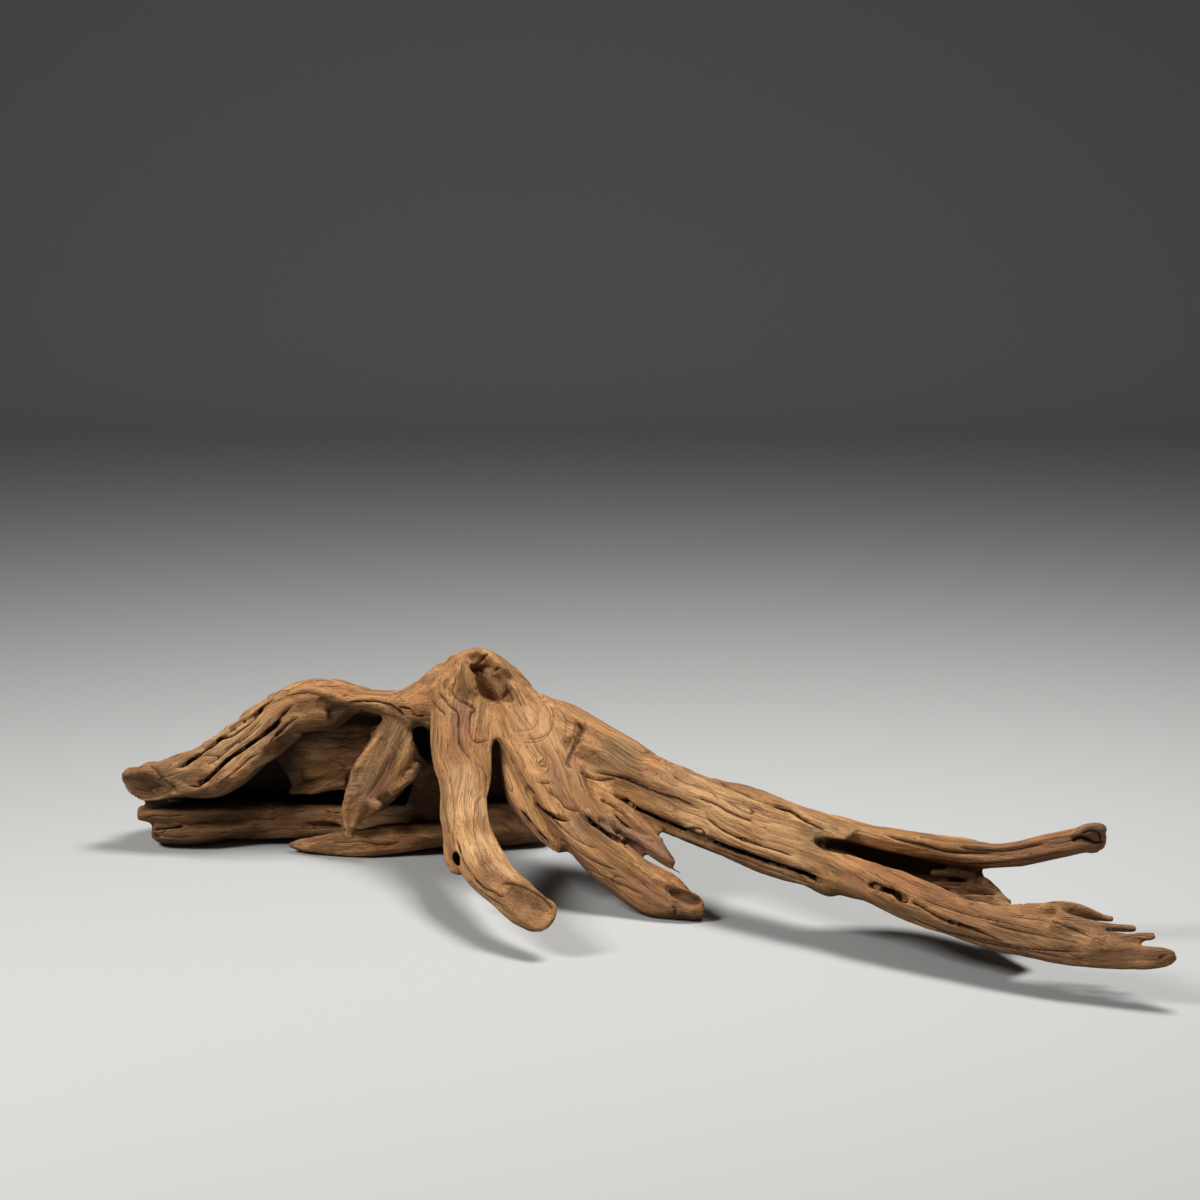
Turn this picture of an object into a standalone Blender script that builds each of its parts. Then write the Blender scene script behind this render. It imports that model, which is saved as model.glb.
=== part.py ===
"""Malaysian driftwood: the root crown of a tropical hardwood, worn to its ribs by water.

It grew as one piece. A crown in the middle carries a hollow log on its left, two legs that reach
down to the front, and one long limb that forks into two prongs on its right. Every form is drawn
where it stands, in millimetres: +X to the right, +Y away from the front, +Z up.
"""
import math

import bmesh
import bpy
from mathutils import Matrix, Vector, noise
from mathutils.bvhtree import BVHTree

# Driving dimensions
LENGTH = 0.7264  # metres, from the broken arm on the left to the tip of the long limb
DRAWN_LENGTH = 726.4  # the same distance in the drawing's millimetres
WALL = 13.0  # thickness of the hollow log
RIB_HEIGHT = 6.0  # worn ribs that run along the grain
RIB_PITCH = 9.0  # from rib to rib
RIB_RUN = 120.0  # how far a rib runs before it fades
FULL_RIB = 22.0  # a limb thinner than this has lower ribs
VOXEL = 2.2  # fineness with which the grown forms run into each other
TRIANGLES = 11600  # facets kept on the finished solid
MENDING_ROUNDS = 4
MM = LENGTH / DRAWN_LENGTH  # one drawn millimetre in metres

EYE = Vector((0.0, -1650.0, 510.0))  # widths are drawn as seen from here
WOOD_COLOUR = (0.45, 0.27, 0.14, 1.0)
WOOD_ROUGHNESS = 0.82

# Grown forms, one row a station: x, y, z, width seen from the front, depth behind it
CROWN = [
    (-178, 132, 118, 13, 26),
    (-160, 127, 116, 17, 34),
    (-143, 120, 118, 25, 42),
    (-126, 113, 121, 40, 50),
    (-108, 106, 125, 60, 54),
    (-92, 103, 129, 68, 50),
    (-79, 99, 123, 60, 50),
    (-62, 92, 112, 50, 52),
    (-42, 84, 104, 50, 54),
    (-18, 74, 95, 48, 50),
    (8, 60, 87, 45, 44),
    (26, 46, 80, 38, 40),
]
LEG_ONE = [
    (-96, 100, 150, 26, 22),
    (-99, 92, 134, 40, 32),
    (-101, 76, 114, 42, 36),
    (-101, 60, 98, 41, 34),
    (-98, 40, 83, 39, 31),
    (-97, 16, 69, 34, 29),
    (-94, -12, 57, 30, 28),
    (-87, -42, 48, 29, 28),
    (-77, -68, 41, 28, 26),
    (-64, -92, 37, 26, 24),
    (-50, -112, 34, 25, 22),
    (-39, -124, 32, 22, 19),
    (-32, -131, 31, 15, 12),
]
LEG_ONE_FIN = [
    (-106, 20, 74, 14, 16),
    (-106, 0, 61, 13, 12),
    (-105, -20, 48, 13, 9),
    (-101, -36, 39, 14, 8),
    (-96, -44, 34, 6, 6),
]
LEG_TWO = [
    (-78, 98, 142, 24, 20),
    (-68, 88, 126, 40, 30),
    (-56, 74, 110, 50, 36),
    (-48, 60, 98, 50, 36),
    (-42, 46, 88, 47, 33),
    (-33, 28, 74, 44, 32),
    (-18, 8, 57, 38, 30),
    (0, -10, 41, 34, 28),
    (20, -23, 27, 33, 26),
    (38, -32, 17, 30, 24),
    (54, -38, 11, 24, 22),
    (65, -41, 9, 19, 19),
    (71, -43, 9, 15, 15),
    (73, -43, 9, 9, 9),
]
LEG_TWO_FLANK = [
    (-62, 60, 90, 22, 22),
    (-59, 40, 76, 20, 20),
    (-52, 22, 62, 17, 18),
    (-40, 6, 50, 14, 16),
    (-26, -6, 40, 9, 12),
]
LEG_TWO_FINGER = [
    (-24, 48, 86, 26, 22),
    (-7, 32, 72, 24, 20),
    (8, 16, 63, 22, 17),
    (24, 2, 52, 20, 14),
    (38, -9, 44, 16, 11),
    (48, -16, 37, 8, 8),
    (54, -20, 33, 4, 5),
]
LONG_LIMB = [
    (-52, 90, 118, 26, 24),
    (-34, 80, 107, 44, 40),
    (-8, 62, 96, 49, 44),
    (16, 44, 86, 47, 40),
    (42, 22, 77, 45, 36),
    (78, -10, 71, 48, 35),
    (114, -44, 66, 52, 34),
    (146, -74, 61, 52, 32),
    (166, -92, 56, 46, 28),
]
LONG_LIMB_STRIP = [
    (12, 40, 67, 14, 18),
    (34, 22, 59, 15, 20),
    (62, 0, 53, 16, 21),
    (95, -32, 48, 17, 22),
    (126, -60, 43, 17, 22),
    (150, -81, 43, 13, 18),
    (170, -97, 44, 8, 12),
]
UPPER_PRONG = [
    (132, -58, 72, 24, 24),
    (152, -68, 73, 22, 23),
    (176, -80, 71, 19, 21),
    (202, -88, 68, 19, 20),
    (235, -93, 64, 20, 20),
    (268, -99, 63, 18, 18),
    (294, -100, 68, 20, 18),
    (316, -100, 73, 20, 18),
    (330, -100, 75, 20, 17),
    (338, -100, 75, 14, 12),
]
LOWER_PRONG = [
    (150, -84, 52, 33, 28),
    (179, -110, 48, 29, 28),
    (204, -130, 42, 29, 27),
    (233, -152, 37, 27, 26),
    (262, -174, 33, 28, 25),
    (290, -192, 31, 23, 22),
    (316, -206, 30, 19, 18),
    (338, -216, 31, 16, 15),
    (351, -222, 33, 12, 12),
    (357, -225, 35, 7, 8),
]
PRONG_WEB = [
    (146, -64, 57, 26, 14),
    (168, -64, 51, 34, 13),
    (190, -64, 46, 37, 12),
    (212, -67, 42, 38, 12),
    (232, -78, 40, 37, 12),
    (246, -91, 38, 33, 12),
    (258, -104, 35, 25, 12),
    (267, -116, 32, 14, 10),
    (274, -127, 29, 6, 6),
]
PRONG_BROW = [
    (150, -70, 69, 13, 22),
    (176, -74, 68, 12, 26),
    (202, -78, 65, 12, 26),
    (228, -86, 60, 12, 22),
    (248, -93, 57, 9, 16),
    (260, -98, 55, 4, 8),
]
PRONG_SHELF = [
    (146, -84, 46, 16, 28),
    (170, -90, 38, 13, 44),
    (196, -98, 33, 11, 56),
    (220, -108, 30, 10, 64),
    (244, -124, 27, 10, 60),
    (262, -140, 26, 9, 44),
    (278, -154, 26, 6, 24),
]
PRONG_FINGERS = [
    [
        (256, -163, 41, 12, 12),
        (284, -172, 46, 11, 10),
        (305, -176, 46, 8, 8),
        (318, -178, 45, 7, 7),
        (328, -179, 44, 6, 6),
    ],
    [
        (270, -178, 39, 12, 12),
        (300, -187, 42, 8, 8),
        (318, -190, 42, 7, 7),
        (330, -191, 42, 7, 7),
        (340, -192, 42, 6, 6),
    ],
    [
        (282, -191, 33, 12, 12),
        (310, -200, 38, 8, 8),
        (328, -203, 39, 7, 7),
        (340, -205, 41, 7, 7),
        (349, -206, 42, 6, 6),
    ],
]
ARM = [
    (-366, 141, 62, 6, 8),
    (-362, 141, 59, 16, 18),
    (-355, 140, 55, 25, 28),
    (-345, 138, 53, 29, 34),
    (-330, 137, 56, 31, 32),
    (-311, 134, 59, 36, 26),
    (-292, 132, 64, 44, 22),
    (-271, 131, 80, 43, 20),
    (-248, 131, 99, 36, 20),
    (-226, 131, 110, 32, 22),
    (-206, 130, 113, 27, 24),
    (-190, 129, 116, 18, 24),
    (-176, 127, 117, 13, 24),
    (-158, 122, 115, 15, 24),
]
BLOCK = [
    (-358, 146, 26, 11, 30),
    (-340, 150, 25, 16, 44),
    (-312, 156, 24, 17, 50),
    (-280, 165, 23, 16, 50),
    (-240, 170, 22, 14, 54),
    (-195, 168, 21, 12, 60),
    (-150, 166, 21, 12, 54),
    (-105, 162, 23, 14, 48),
    (-68, 156, 24, 15, 40),
    (-50, 150, 27, 10, 26),
]
BLOCK_FOOT = [
    (-347, 150, 10, 11, 30),
    (-336, 151, 9, 19, 44),
    (-308, 155, 8, 19, 49),
    (-286, 161, 10, 17, 48),
    (-262, 166, 13, 16, 50),
    (-225, 168, 14, 16, 54),
    (-190, 166, 12, 18, 58),
    (-150, 164, 9, 20, 52),
    (-105, 160, 10, 19, 46),
    (-74, 156, 13, 15, 38),
    (-60, 152, 17, 9, 24),
]
FOOT_ROOT = [
    (-239, 131, 5, 4, 8),
    (-230, 129, 6, 9, 16),
    (-210, 126, 7, 16, 26),
    (-180, 126, 10, 22, 34),
    (-150, 132, 11, 23, 40),
    (-118, 138, 12, 22, 44),
    (-78, 144, 12, 20, 40),
    (-48, 148, 12, 17, 30),
    (-36, 149, 12, 9, 18),
]
TONGUE = [
    (-142, 118, 116, 30, 26),
    (-147, 118, 100, 38, 22),
    (-156, 119, 82, 42, 18),
    (-164, 118, 65, 42, 16),
    (-174, 116, 50, 32, 14),
    (-183, 114, 38, 21, 12),
    (-189, 112, 28, 11, 9),
    (-191, 111, 21, 5, 6),
]
TONGUE_SIDE = [
    (-132, 112, 108, 24, 22),
    (-137, 114, 94, 26, 20),
    (-142, 116, 80, 27, 16),
    (-150, 116, 67, 20, 13),
    (-158, 116, 57, 13, 11),
    (-164, 115, 50, 6, 7),
]
TONGUE_CREST = [
    (-160, 113, 100, 8, 12),
    (-172, 111, 86, 8, 14),
    (-182, 110, 72, 8, 14),
    (-188, 110, 57, 8, 12),
    (-192, 110, 42, 8, 10),
    (-193, 110, 30, 6, 8),
]
TONGUE_NUB = [
    (-162, 112, 52, 9, 9),
    (-168, 109, 46, 11, 10),
    (-172, 106, 42, 9, 8),
]
TONGUE_TEETH = [
    [
        (-146, 115, 72, 12, 12),
        (-154, 113, 61, 11, 10),
        (-158, 111, 53, 8, 7),
        (-160, 110, 48, 3, 4),
    ],
    [
        (-140, 116, 78, 12, 12),
        (-146, 114, 68, 11, 10),
        (-149, 112, 61, 8, 7),
        (-151, 112, 56, 3, 4),
    ],
    [
        (-134, 117, 84, 11, 12),
        (-138, 115, 75, 9, 10),
        (-141, 114, 69, 7, 7),
        (-142, 114, 64, 3, 4),
    ],
]
RIM_BEAD = [
    (-240, 114, 127, 6, 8),
    (-218, 113, 131, 7, 9),
    (-203, 115, 126, 7, 9),
    (-190, 118, 121, 7, 9),
    (-172, 117, 121, 7, 9),
    (-158, 113, 118, 8, 10),
    (-148, 108, 112, 9, 11),
    (-140, 104, 104, 10, 12),
]
CROWN_PEAK = [
    (-108, 104, 154, 10, 20),
    (-94, 103, 161, 9, 22),
    (-84, 101, 158, 9, 18),
    (-75, 97, 151, 7, 12),
]
KNOT_PLATE = [
    (-90, 96, 164, 4, 8),
    (-83, 91, 162, 8, 16),
    (-76, 88, 157, 10, 18),
    (-69, 86, 151, 8, 14),
    (-64, 86, 147, 3, 6),
]
KNOT_LIP = [
    (-101, 86, 157, 6, 10),
    (-97, 80, 150, 9, 14),
    (-94, 76, 142, 10, 14),
    (-90, 75, 134, 7, 10),
    (-87, 75, 128, 3, 5),
]
INNER_RIB = [
    (-122, 118, 112, 26, 26),
    (-122, 128, 92, 26, 24),
    (-124, 138, 70, 28, 22),
    (-128, 146, 48, 28, 22),
    (-134, 150, 28, 28, 24),
]
LOG_CURTAIN = [
    (-252, 174, 90, 14, 20),
    (-242, 171, 86, 52, 36),
    (-228, 169, 83, 68, 42),
    (-207, 168, 82, 72, 45),
    (-186, 167, 82, 73, 46),
    (-165, 165, 83, 70, 44),
    (-145, 163, 84, 60, 38),
    (-132, 160, 86, 34, 26),
]
BACK_RIB = [
    (-96, 128, 128, 30, 34),
    (-92, 152, 104, 26, 30),
    (-88, 172, 76, 22, 26),
    (-84, 182, 46, 22, 24),
    (-82, 182, 18, 26, 26),
]
LIMBS = {
    "crown": CROWN,
    "leg_one": LEG_ONE,
    "leg_one_fin": LEG_ONE_FIN,
    "leg_two": LEG_TWO,
    "leg_two_flank": LEG_TWO_FLANK,
    "leg_two_finger": LEG_TWO_FINGER,
    "long_limb": LONG_LIMB,
    "long_limb_strip": LONG_LIMB_STRIP,
    "upper_prong": UPPER_PRONG,
    "lower_prong": LOWER_PRONG,
    "prong_web": PRONG_WEB,
    "prong_brow": PRONG_BROW,
    "prong_shelf": PRONG_SHELF,
    "arm": ARM,
    "block": BLOCK,
    "block_foot": BLOCK_FOOT,
    "foot_root": FOOT_ROOT,
    "tongue": TONGUE,
    "tongue_side": TONGUE_SIDE,
    "tongue_crest": TONGUE_CREST,
    "tongue_nub": TONGUE_NUB,
    "rim_bead": RIM_BEAD,
    "crown_peak": CROWN_PEAK,
    "knot_plate": KNOT_PLATE,
    "knot_lip": KNOT_LIP,
    "inner_rib": INNER_RIB,
    "log_curtain": LOG_CURTAIN,
    "back_rib": BACK_RIB,
}

# Hollow log, one row a station: x, then y and z of its front lip, ridge, back and base, on the outside
LOG_SHELL = [
    (-352, (131, 42), (148, 58), (180, 44), (176, 10)),
    (-330, (126, 50), (149, 66), (190, 52), (188, 10)),
    (-309, (119, 55), (150, 75), (196, 58), (194, 10)),
    (-290, (113, 60), (150, 87), (200, 64), (198, 10)),
    (-272, (110, 68), (150, 101), (203, 70), (200, 10)),
    (-252, (110, 85), (150, 117), (205, 76), (202, 10)),
    (-232, (112, 103), (150, 128), (206, 80), (203, 10)),
    (-212, (114, 115), (148, 130), (206, 80), (203, 10)),
    (-190, (119, 122), (145, 124), (204, 78), (201, 10)),
    (-166, (117, 120), (138, 120), (200, 76), (198, 10)),
    (-140, (114, 120), (132, 125), (194, 74), (193, 10)),
    (-110, (110, 122), (128, 134), (188, 72), (187, 10)),
    (-80, (106, 116), (122, 128), (180, 66), (180, 10)),
    (-58, (100, 108), (116, 118), (170, 60), (172, 12)),
    (-40, (98, 94), (110, 101), (154, 56), (160, 24)),
    (-28, (98, 82), (106, 88), (140, 56), (146, 38)),
]

# Hollows and holes, in rows as the grown forms
HOLLOWS = {
    "arm_end": [
        (-378, 130, 56, 10, 20),
        (-362, 124, 55, 18, 26),
        (-348, 120, 53, 22, 30),
        (-333, 118, 53, 15, 20),
        (-321, 117, 53, 6, 8),
    ],
    "knot": [
        (-94, 81, 147, 4, 8),
        (-88, 81, 144, 16, 22),
        (-80, 80, 140, 22, 28),
        (-71, 78, 135, 18, 24),
        (-63, 76, 130, 6, 8),
    ],
    "knot_hole": [
        (-90, 76, 154, 5, 16),
        (-89, 86, 152, 9, 24),
        (-86, 96, 150, 5, 18),
    ],
    "crown_window": [
        (-137, 104, 104, 8, 84),
        (-132, 106, 94, 15, 90),
        (-129, 108, 84, 13, 90),
        (-127, 108, 77, 6, 80),
    ],
    "fork": [
        (143, -88, 71, 4, 16),
        (150, -94, 70, 8, 34),
        (167, -98, 68, 9, 48),
        (187, -98, 62, 10, 50),
        (201, -98, 58, 12, 50),
        (214, -99, 53, 16, 46),
        (232, -106, 47, 20, 34),
        (250, -118, 42, 14, 20),
    ],
    "leg_two_notch": [
        (43, -47, 27, 3, 10),
        (51, -48, 22, 9, 20),
        (60, -47, 17, 9, 20),
        (70, -44, 14, 4, 12),
    ],
    "leg_one_fin_hole": [
        (-101, -40, 48, 4, 26),
        (-98, -42, 43, 7, 26),
        (-95, -44, 38, 4, 26),
    ],
    "leg_one_scarf": [
        (-134, -159, 101, 190, 190),
        (-111, -176, 93, 200, 200),
        (-88, -193, 85, 200, 200),
        (-65, -210, 77, 200, 200),
        (-42, -228, 69, 200, 200),
    ],
}

# Cracks that follow the grain: width, depth, and their line as seen from EYE on the upright plane y = 0
CRACKS = {
    "arm_ridge": (3.0, 5, [(-303, 98), (-290, 103), (-268, 119), (-241, 138), (-218, 155), (-202, 156)]),
    "arm_middle": (3.6, 6, [(-211, 146), (-231, 127), (-260, 106), (-281, 88), (-297, 90)]),
    "arm_lower": (2.6, 4, [(-211, 137), (-224, 126), (-250, 104)]),
    "limb_long": (3.6, 9, [(-1, 83), (35, 65), (57, 55), (100, 38), (148, 21), (164, 13)]),
    "limb_ridge": (3.0, 5, [(88, 86), (103, 79), (128, 69), (162, 52)]),
    "limb_upper": (2.6, 4, [(-7, 96), (21, 90), (46, 79), (71, 69)]),
    "limb_lower": (2.6, 4, [(71, 66), (99, 47), (139, 33)]),
    "leg_two_split": (4.4, 9, [(-11, 63), (7, 49), (26, 39)]),
    "leg_two_front": (2.8, 5, [(-56, 91), (-40, 67), (-18, 60)]),
    "leg_two_under": (2.6, 5, [(-57, 69), (-44, 51), (-33, 40)]),
    "crown_left": (2.8, 4, [(-115, 155), (-100, 133), (-99, 117), (-90, 103)]),
    "crown_middle": (2.8, 4, [(-102, 168), (-97, 147), (-89, 140), (-90, 120)]),
    "crown_crease": (7.0, 10, [(-15, 138), (-14, 127), (-21, 106)]),
    "leg_one_end": (2.6, 4, [(-101, 35), (-89, 16), (-66, 3)]),
    "prong_slot": (5.0, 8, [(191, 13), (207, 8), (220, 2)]),
    "prong_split": (2.6, 5, [(218, -2), (257, -17), (290, -32)]),
    "wall_slot": (12.0, 7, [(-214, 75), (-205, 76), (-192, 77), (-179, 77)]),
    "floor_slot": (7.0, 8, [(-209, 58), (-198, 57), (-190, 56), (-182, 54)]),
}


def smoothed(rows, parts=4):
    """Rows of numbers with smooth in-between rows, by Catmull-Rom."""
    padded = [rows[0], *rows, rows[-1]]
    out = []
    for first, start, end, last in zip(padded, padded[1:], padded[2:], padded[3:]):
        for part in range(parts):
            t = part / parts
            out.append([
                0.5 * (2 * b + (c - a) * t + (2 * a - 5 * b + 4 * c - d) * t * t
                       + (3 * b - a - 3 * c + d) * t ** 3)
                for a, b, c, d in zip(first, start, end, last)
            ])
    out.append(list(rows[-1]))
    return out


def rib(across, behind, along, seed, thickness=2 * FULL_RIB):
    """Height of the worn ribs at a place in a limb: rounded backs with sharp valleys between."""
    place = Vector((across / RIB_PITCH + seed, behind / RIB_PITCH, along / RIB_RUN))
    height = RIB_HEIGHT * min(thickness / FULL_RIB, 1.0) ** 2
    return height * (2 * abs(noise.noise(place)) - 0.4)


def mesh_object(name, bm):
    mesh = bpy.data.meshes.new(name)
    bm.to_mesh(mesh)
    bm.free()
    made = bpy.data.objects.new(name, mesh)
    bpy.context.scene.collection.objects.link(made)
    return made


def applied(made):
    """The object with its modifiers applied, in place of the object."""
    graph = bpy.context.evaluated_depsgraph_get()
    mesh = bpy.data.meshes.new_from_object(made.evaluated_get(graph))
    name = made.name
    bpy.data.objects.remove(made)
    fresh = bpy.data.objects.new(name, mesh)
    bpy.context.scene.collection.objects.link(fresh)
    return fresh


def limb(name, rows, sides=36, ribbed=True):
    """Closed loft through a limb's stations, with ribs drawn out along it."""
    rows = smoothed(rows)
    seed = sum(map(ord, name)) % 29
    centres = [Vector(row[:3]) for row in rows]
    bm = bmesh.new()
    rings = []
    travelled = 0.0
    for place, (centre, row) in enumerate(zip(centres, rows)):
        before = centres[max(place - 1, 0)]
        after = centres[min(place + 1, len(rows) - 1)]
        along = (after - before).normalized()
        travelled += (centre - before).length
        across = along.cross(EYE - centre).normalized()
        outward = across.cross(along)
        half_width = max(row[3], 1.0) / 2
        half_depth = max(row[4], 1.0) / 2
        ring = []
        for side in range(sides):
            angle = 2 * math.pi * side / sides
            width = half_width * math.cos(angle)
            depth = half_depth * math.sin(angle)
            swell = 1.0
            if ribbed:
                thickness = min(row[3], row[4])
                swell += rib(width, depth, travelled, seed, thickness) / max(half_width, half_depth)
            point = centre + (across * width + outward * depth) * swell
            ring.append(bm.verts.new(point * MM))
        rings.append(ring)
    for ring, after in zip(rings, rings[1:]):
        for side in range(sides):
            following = (side + 1) % sides
            bm.faces.new((ring[side], ring[following], after[following], after[side]))
    bm.faces.new(rings[0])
    bm.faces.new(rings[-1])
    bmesh.ops.recalc_face_normals(bm, faces=bm.faces)
    return mesh_object(name, bm)


def log_shell():
    """Open surface of the hollow log from its front lip over the ridge to its base, made solid."""
    profiles = []
    for x, lip, ridge, back, base in LOG_SHELL:
        shoulder = (ridge[0] + 0.62 * (back[0] - ridge[0]), ridge[1] - 0.16 * (ridge[1] - back[1]))
        brow = (0.4 * lip[0] + 0.6 * ridge[0] - 8, 0.42 * lip[1] + 0.58 * ridge[1] + 3)
        waist = (back[0] + 3, 0.5 * (back[1] + base[1]))
        profile = smoothed([lip, brow, ridge, shoulder, back, waist, base], parts=8)
        profiles.append([x, *(number for point in profile for number in point)])
    bm = bmesh.new()
    grid = []
    for x, *numbers in smoothed(profiles, parts=8):
        row = []
        for y, z in zip(numbers[::2], numbers[1::2]):
            row.append(bm.verts.new(Vector((x, y, z)) * MM))
        grid.append(row)
    for row, after in zip(grid, grid[1:]):
        for place in range(len(row) - 1):
            bm.faces.new((row[place], after[place], after[place + 1], row[place + 1]))
    bmesh.ops.recalc_face_normals(bm, faces=bm.faces)
    bm.normal_update()
    for vert in bm.verts:
        x, y, z = vert.co / MM
        vert.co += vert.normal * rib(y, z, x, 0) * MM
    shell = mesh_object("log_shell", bm)
    solid = shell.modifiers.new("wall", "SOLIDIFY")
    solid.thickness = WALL * MM
    solid.offset = -1.0
    return applied(shell)


def crack(name, width, depth, line, skin):
    """Thin blade along a crack, found on the skin where the line of sight from EYE first meets it."""
    rows = []
    last = len(line) - 1
    for place, (x, z) in enumerate(line):
        sight = Vector((x, 0.0, z)) - EYE
        spot = skin.ray_cast(EYE * MM, sight.normalized())[0]
        if spot is None:
            print("the line of", name, "leaves the wood at", x, z)
            continue
        narrowed = 0.35 if place in (0, last) else 1.0
        rows.append((*(spot / MM), width * narrowed, 2 * depth * narrowed))
    return limb(name, rows, sides=8, ribbed=False)


def joined(name, objects):
    """One mesh object that holds the faces of all the objects, which are removed."""
    bm = bmesh.new()
    for made in objects:
        bm.from_mesh(made.data)
        bpy.data.objects.remove(made)
    return mesh_object(name, bm)


def grown_together(wood):
    """Run the overlapping forms into one skin, then ease the creases between them."""
    merge = wood.modifiers.new("grow together", "REMESH")
    merge.mode = "VOXEL"
    merge.voxel_size = VOXEL * MM
    ease = wood.modifiers.new("worn creases", "SMOOTH")
    ease.factor = 0.5
    ease.iterations = 2
    return applied(wood)


def cut(wood, cutters):
    """Take every cutter away from the wood, and then remove the cutters."""
    group = bpy.data.collections.new("cutters")
    bpy.context.scene.collection.children.link(group)
    for cutter in cutters:
        bpy.context.scene.collection.objects.unlink(cutter)
        group.objects.link(cutter)
    for cutter in cutters:
        difference = wood.modifiers.new(cutter.name, "BOOLEAN")
        difference.operation = "DIFFERENCE"
        difference.object = cutter
        difference.solver = "MANIFOLD"
    wood = applied(wood)
    for cutter in cutters:
        bpy.data.objects.remove(cutter)
    bpy.data.collections.remove(group)
    return wood


def fewer_facets(wood):
    """Collapse the flattest places until the facets are few enough."""
    wood.data.calc_loop_triangles()
    collapse = wood.modifiers.new("fewer facets", "DECIMATE")
    collapse.ratio = TRIANGLES / len(wood.data.loop_triangles)
    collapse.use_collapse_triangulate = True
    return applied(wood)


def ground():
    """Block whose top is the ground, which wears the feet flat where they rest."""
    size = 2.0
    bm = bmesh.new()
    bmesh.ops.create_cube(bm, size=size, matrix=Matrix.Translation((0, 0, -size / 2)))
    return mesh_object("ground", bm)


def mend_pinholes(mesh):
    """Take out any place where collapsing has pinched the skin, and close it again."""
    bm = bmesh.new()
    bm.from_mesh(mesh)
    for attempt in range(MENDING_ROUNDS):
        faulty = {vert for edge in bm.edges if not edge.is_manifold for vert in edge.verts}
        if not faulty:
            break
        bmesh.ops.delete(bm, geom=list(faulty), context="VERTS")
        rim = [edge for edge in bm.edges if edge.is_boundary]
        bmesh.ops.holes_fill(bm, edges=rim)
        bmesh.ops.triangulate(bm, faces=bm.faces)
    bmesh.ops.recalc_face_normals(bm, faces=bm.faces)
    bm.to_mesh(mesh)
    bm.free()


def keep_one_body(mesh):
    """Drop any loose scrap, so that one connected body is left."""
    bm = bmesh.new()
    bm.from_mesh(mesh)
    unseen = set(bm.verts)
    bodies = []
    while unseen:
        body = set()
        rim = [unseen.pop()]
        while rim:
            vert = rim.pop()
            body.add(vert)
            for edge in vert.link_edges:
                other = edge.other_vert(vert)
                if other in unseen:
                    unseen.remove(other)
                    rim.append(other)
        bodies.append(body)
    bodies.sort(key=len)
    for scrap in bodies[:-1]:
        bmesh.ops.delete(bm, geom=list(scrap), context="VERTS")
    bmesh.ops.triangulate(bm, faces=bm.faces)
    bm.to_mesh(mesh)
    bm.free()


def wood_material():
    material = bpy.data.materials.new("weathered wood")
    material.use_nodes = True
    shader = material.node_tree.nodes["Principled BSDF"]
    shader.inputs["Base Color"].default_value = WOOD_COLOUR
    shader.inputs["Roughness"].default_value = WOOD_ROUGHNESS
    shader.inputs["Metallic"].default_value = 0.0
    return material


def build():
    """Make the driftwood and return the middle of its footprint in the drawing, in millimetres."""
    for old in list(bpy.data.objects):
        bpy.data.objects.remove(old)
    grown = [limb(name, rows) for name, rows in LIMBS.items()]
    grown += [limb(f"prong_finger_{place}", rows) for place, rows in enumerate(PRONG_FINGERS)]
    grown += [limb(f"tongue_tooth_{place}", rows) for place, rows in enumerate(TONGUE_TEETH)]
    grown.append(log_shell())
    wood = grown_together(joined("driftwood", grown))
    skin = BVHTree.FromObject(wood, bpy.context.evaluated_depsgraph_get())
    cutters = [limb(name, rows, sides=16, ribbed=False) for name, rows in HOLLOWS.items()]
    cutters += [crack(name, *drawn, skin) for name, drawn in CRACKS.items()]
    wood = cut(wood, cutters)
    wood = fewer_facets(wood)
    mend_pinholes(wood.data)
    wood = cut(wood, [ground()])
    keep_one_body(wood.data)
    corners = [Vector(corner) for corner in wood.bound_box]
    middle = (corners[0] + corners[6]) / 2
    middle.z = 0.0
    wood.data.transform(Matrix.Translation(-middle))
    wood.data.materials.append(wood_material())
    wood.data.shade_smooth()
    holder = bpy.data.collections.new("malaysian_driftwood")
    bpy.context.scene.collection.children.link(holder)
    bpy.context.scene.collection.objects.unlink(wood)
    holder.objects.link(wood)
    return middle / MM


footprint_middle = build()
print("middle of the footprint in the drawing, mm:", footprint_middle)
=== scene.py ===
import math
import time

import bmesh
import bpy
import numpy as np
from mathutils import Matrix, Vector
from mathutils.bvhtree import BVHTree
from mathutils.kdtree import KDTree


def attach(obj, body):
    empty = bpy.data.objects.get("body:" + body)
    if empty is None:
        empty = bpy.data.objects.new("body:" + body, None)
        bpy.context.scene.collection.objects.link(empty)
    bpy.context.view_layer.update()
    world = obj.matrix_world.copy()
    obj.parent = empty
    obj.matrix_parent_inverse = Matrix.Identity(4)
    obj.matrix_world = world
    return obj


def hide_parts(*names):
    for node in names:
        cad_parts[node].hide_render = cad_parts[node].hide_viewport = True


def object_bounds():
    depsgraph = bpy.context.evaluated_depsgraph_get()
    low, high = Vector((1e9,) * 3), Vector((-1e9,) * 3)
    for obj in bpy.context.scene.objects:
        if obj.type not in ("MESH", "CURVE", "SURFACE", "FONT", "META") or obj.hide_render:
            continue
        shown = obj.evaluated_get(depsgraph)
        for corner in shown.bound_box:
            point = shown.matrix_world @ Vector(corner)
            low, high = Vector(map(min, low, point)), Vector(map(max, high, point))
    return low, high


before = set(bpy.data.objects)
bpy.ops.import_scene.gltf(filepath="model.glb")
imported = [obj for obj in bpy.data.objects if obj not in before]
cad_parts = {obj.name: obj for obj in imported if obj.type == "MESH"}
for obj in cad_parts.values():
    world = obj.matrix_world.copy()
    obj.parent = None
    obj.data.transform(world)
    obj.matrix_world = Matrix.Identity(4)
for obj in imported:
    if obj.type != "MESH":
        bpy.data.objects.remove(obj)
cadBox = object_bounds()
started = time.time()


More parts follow.
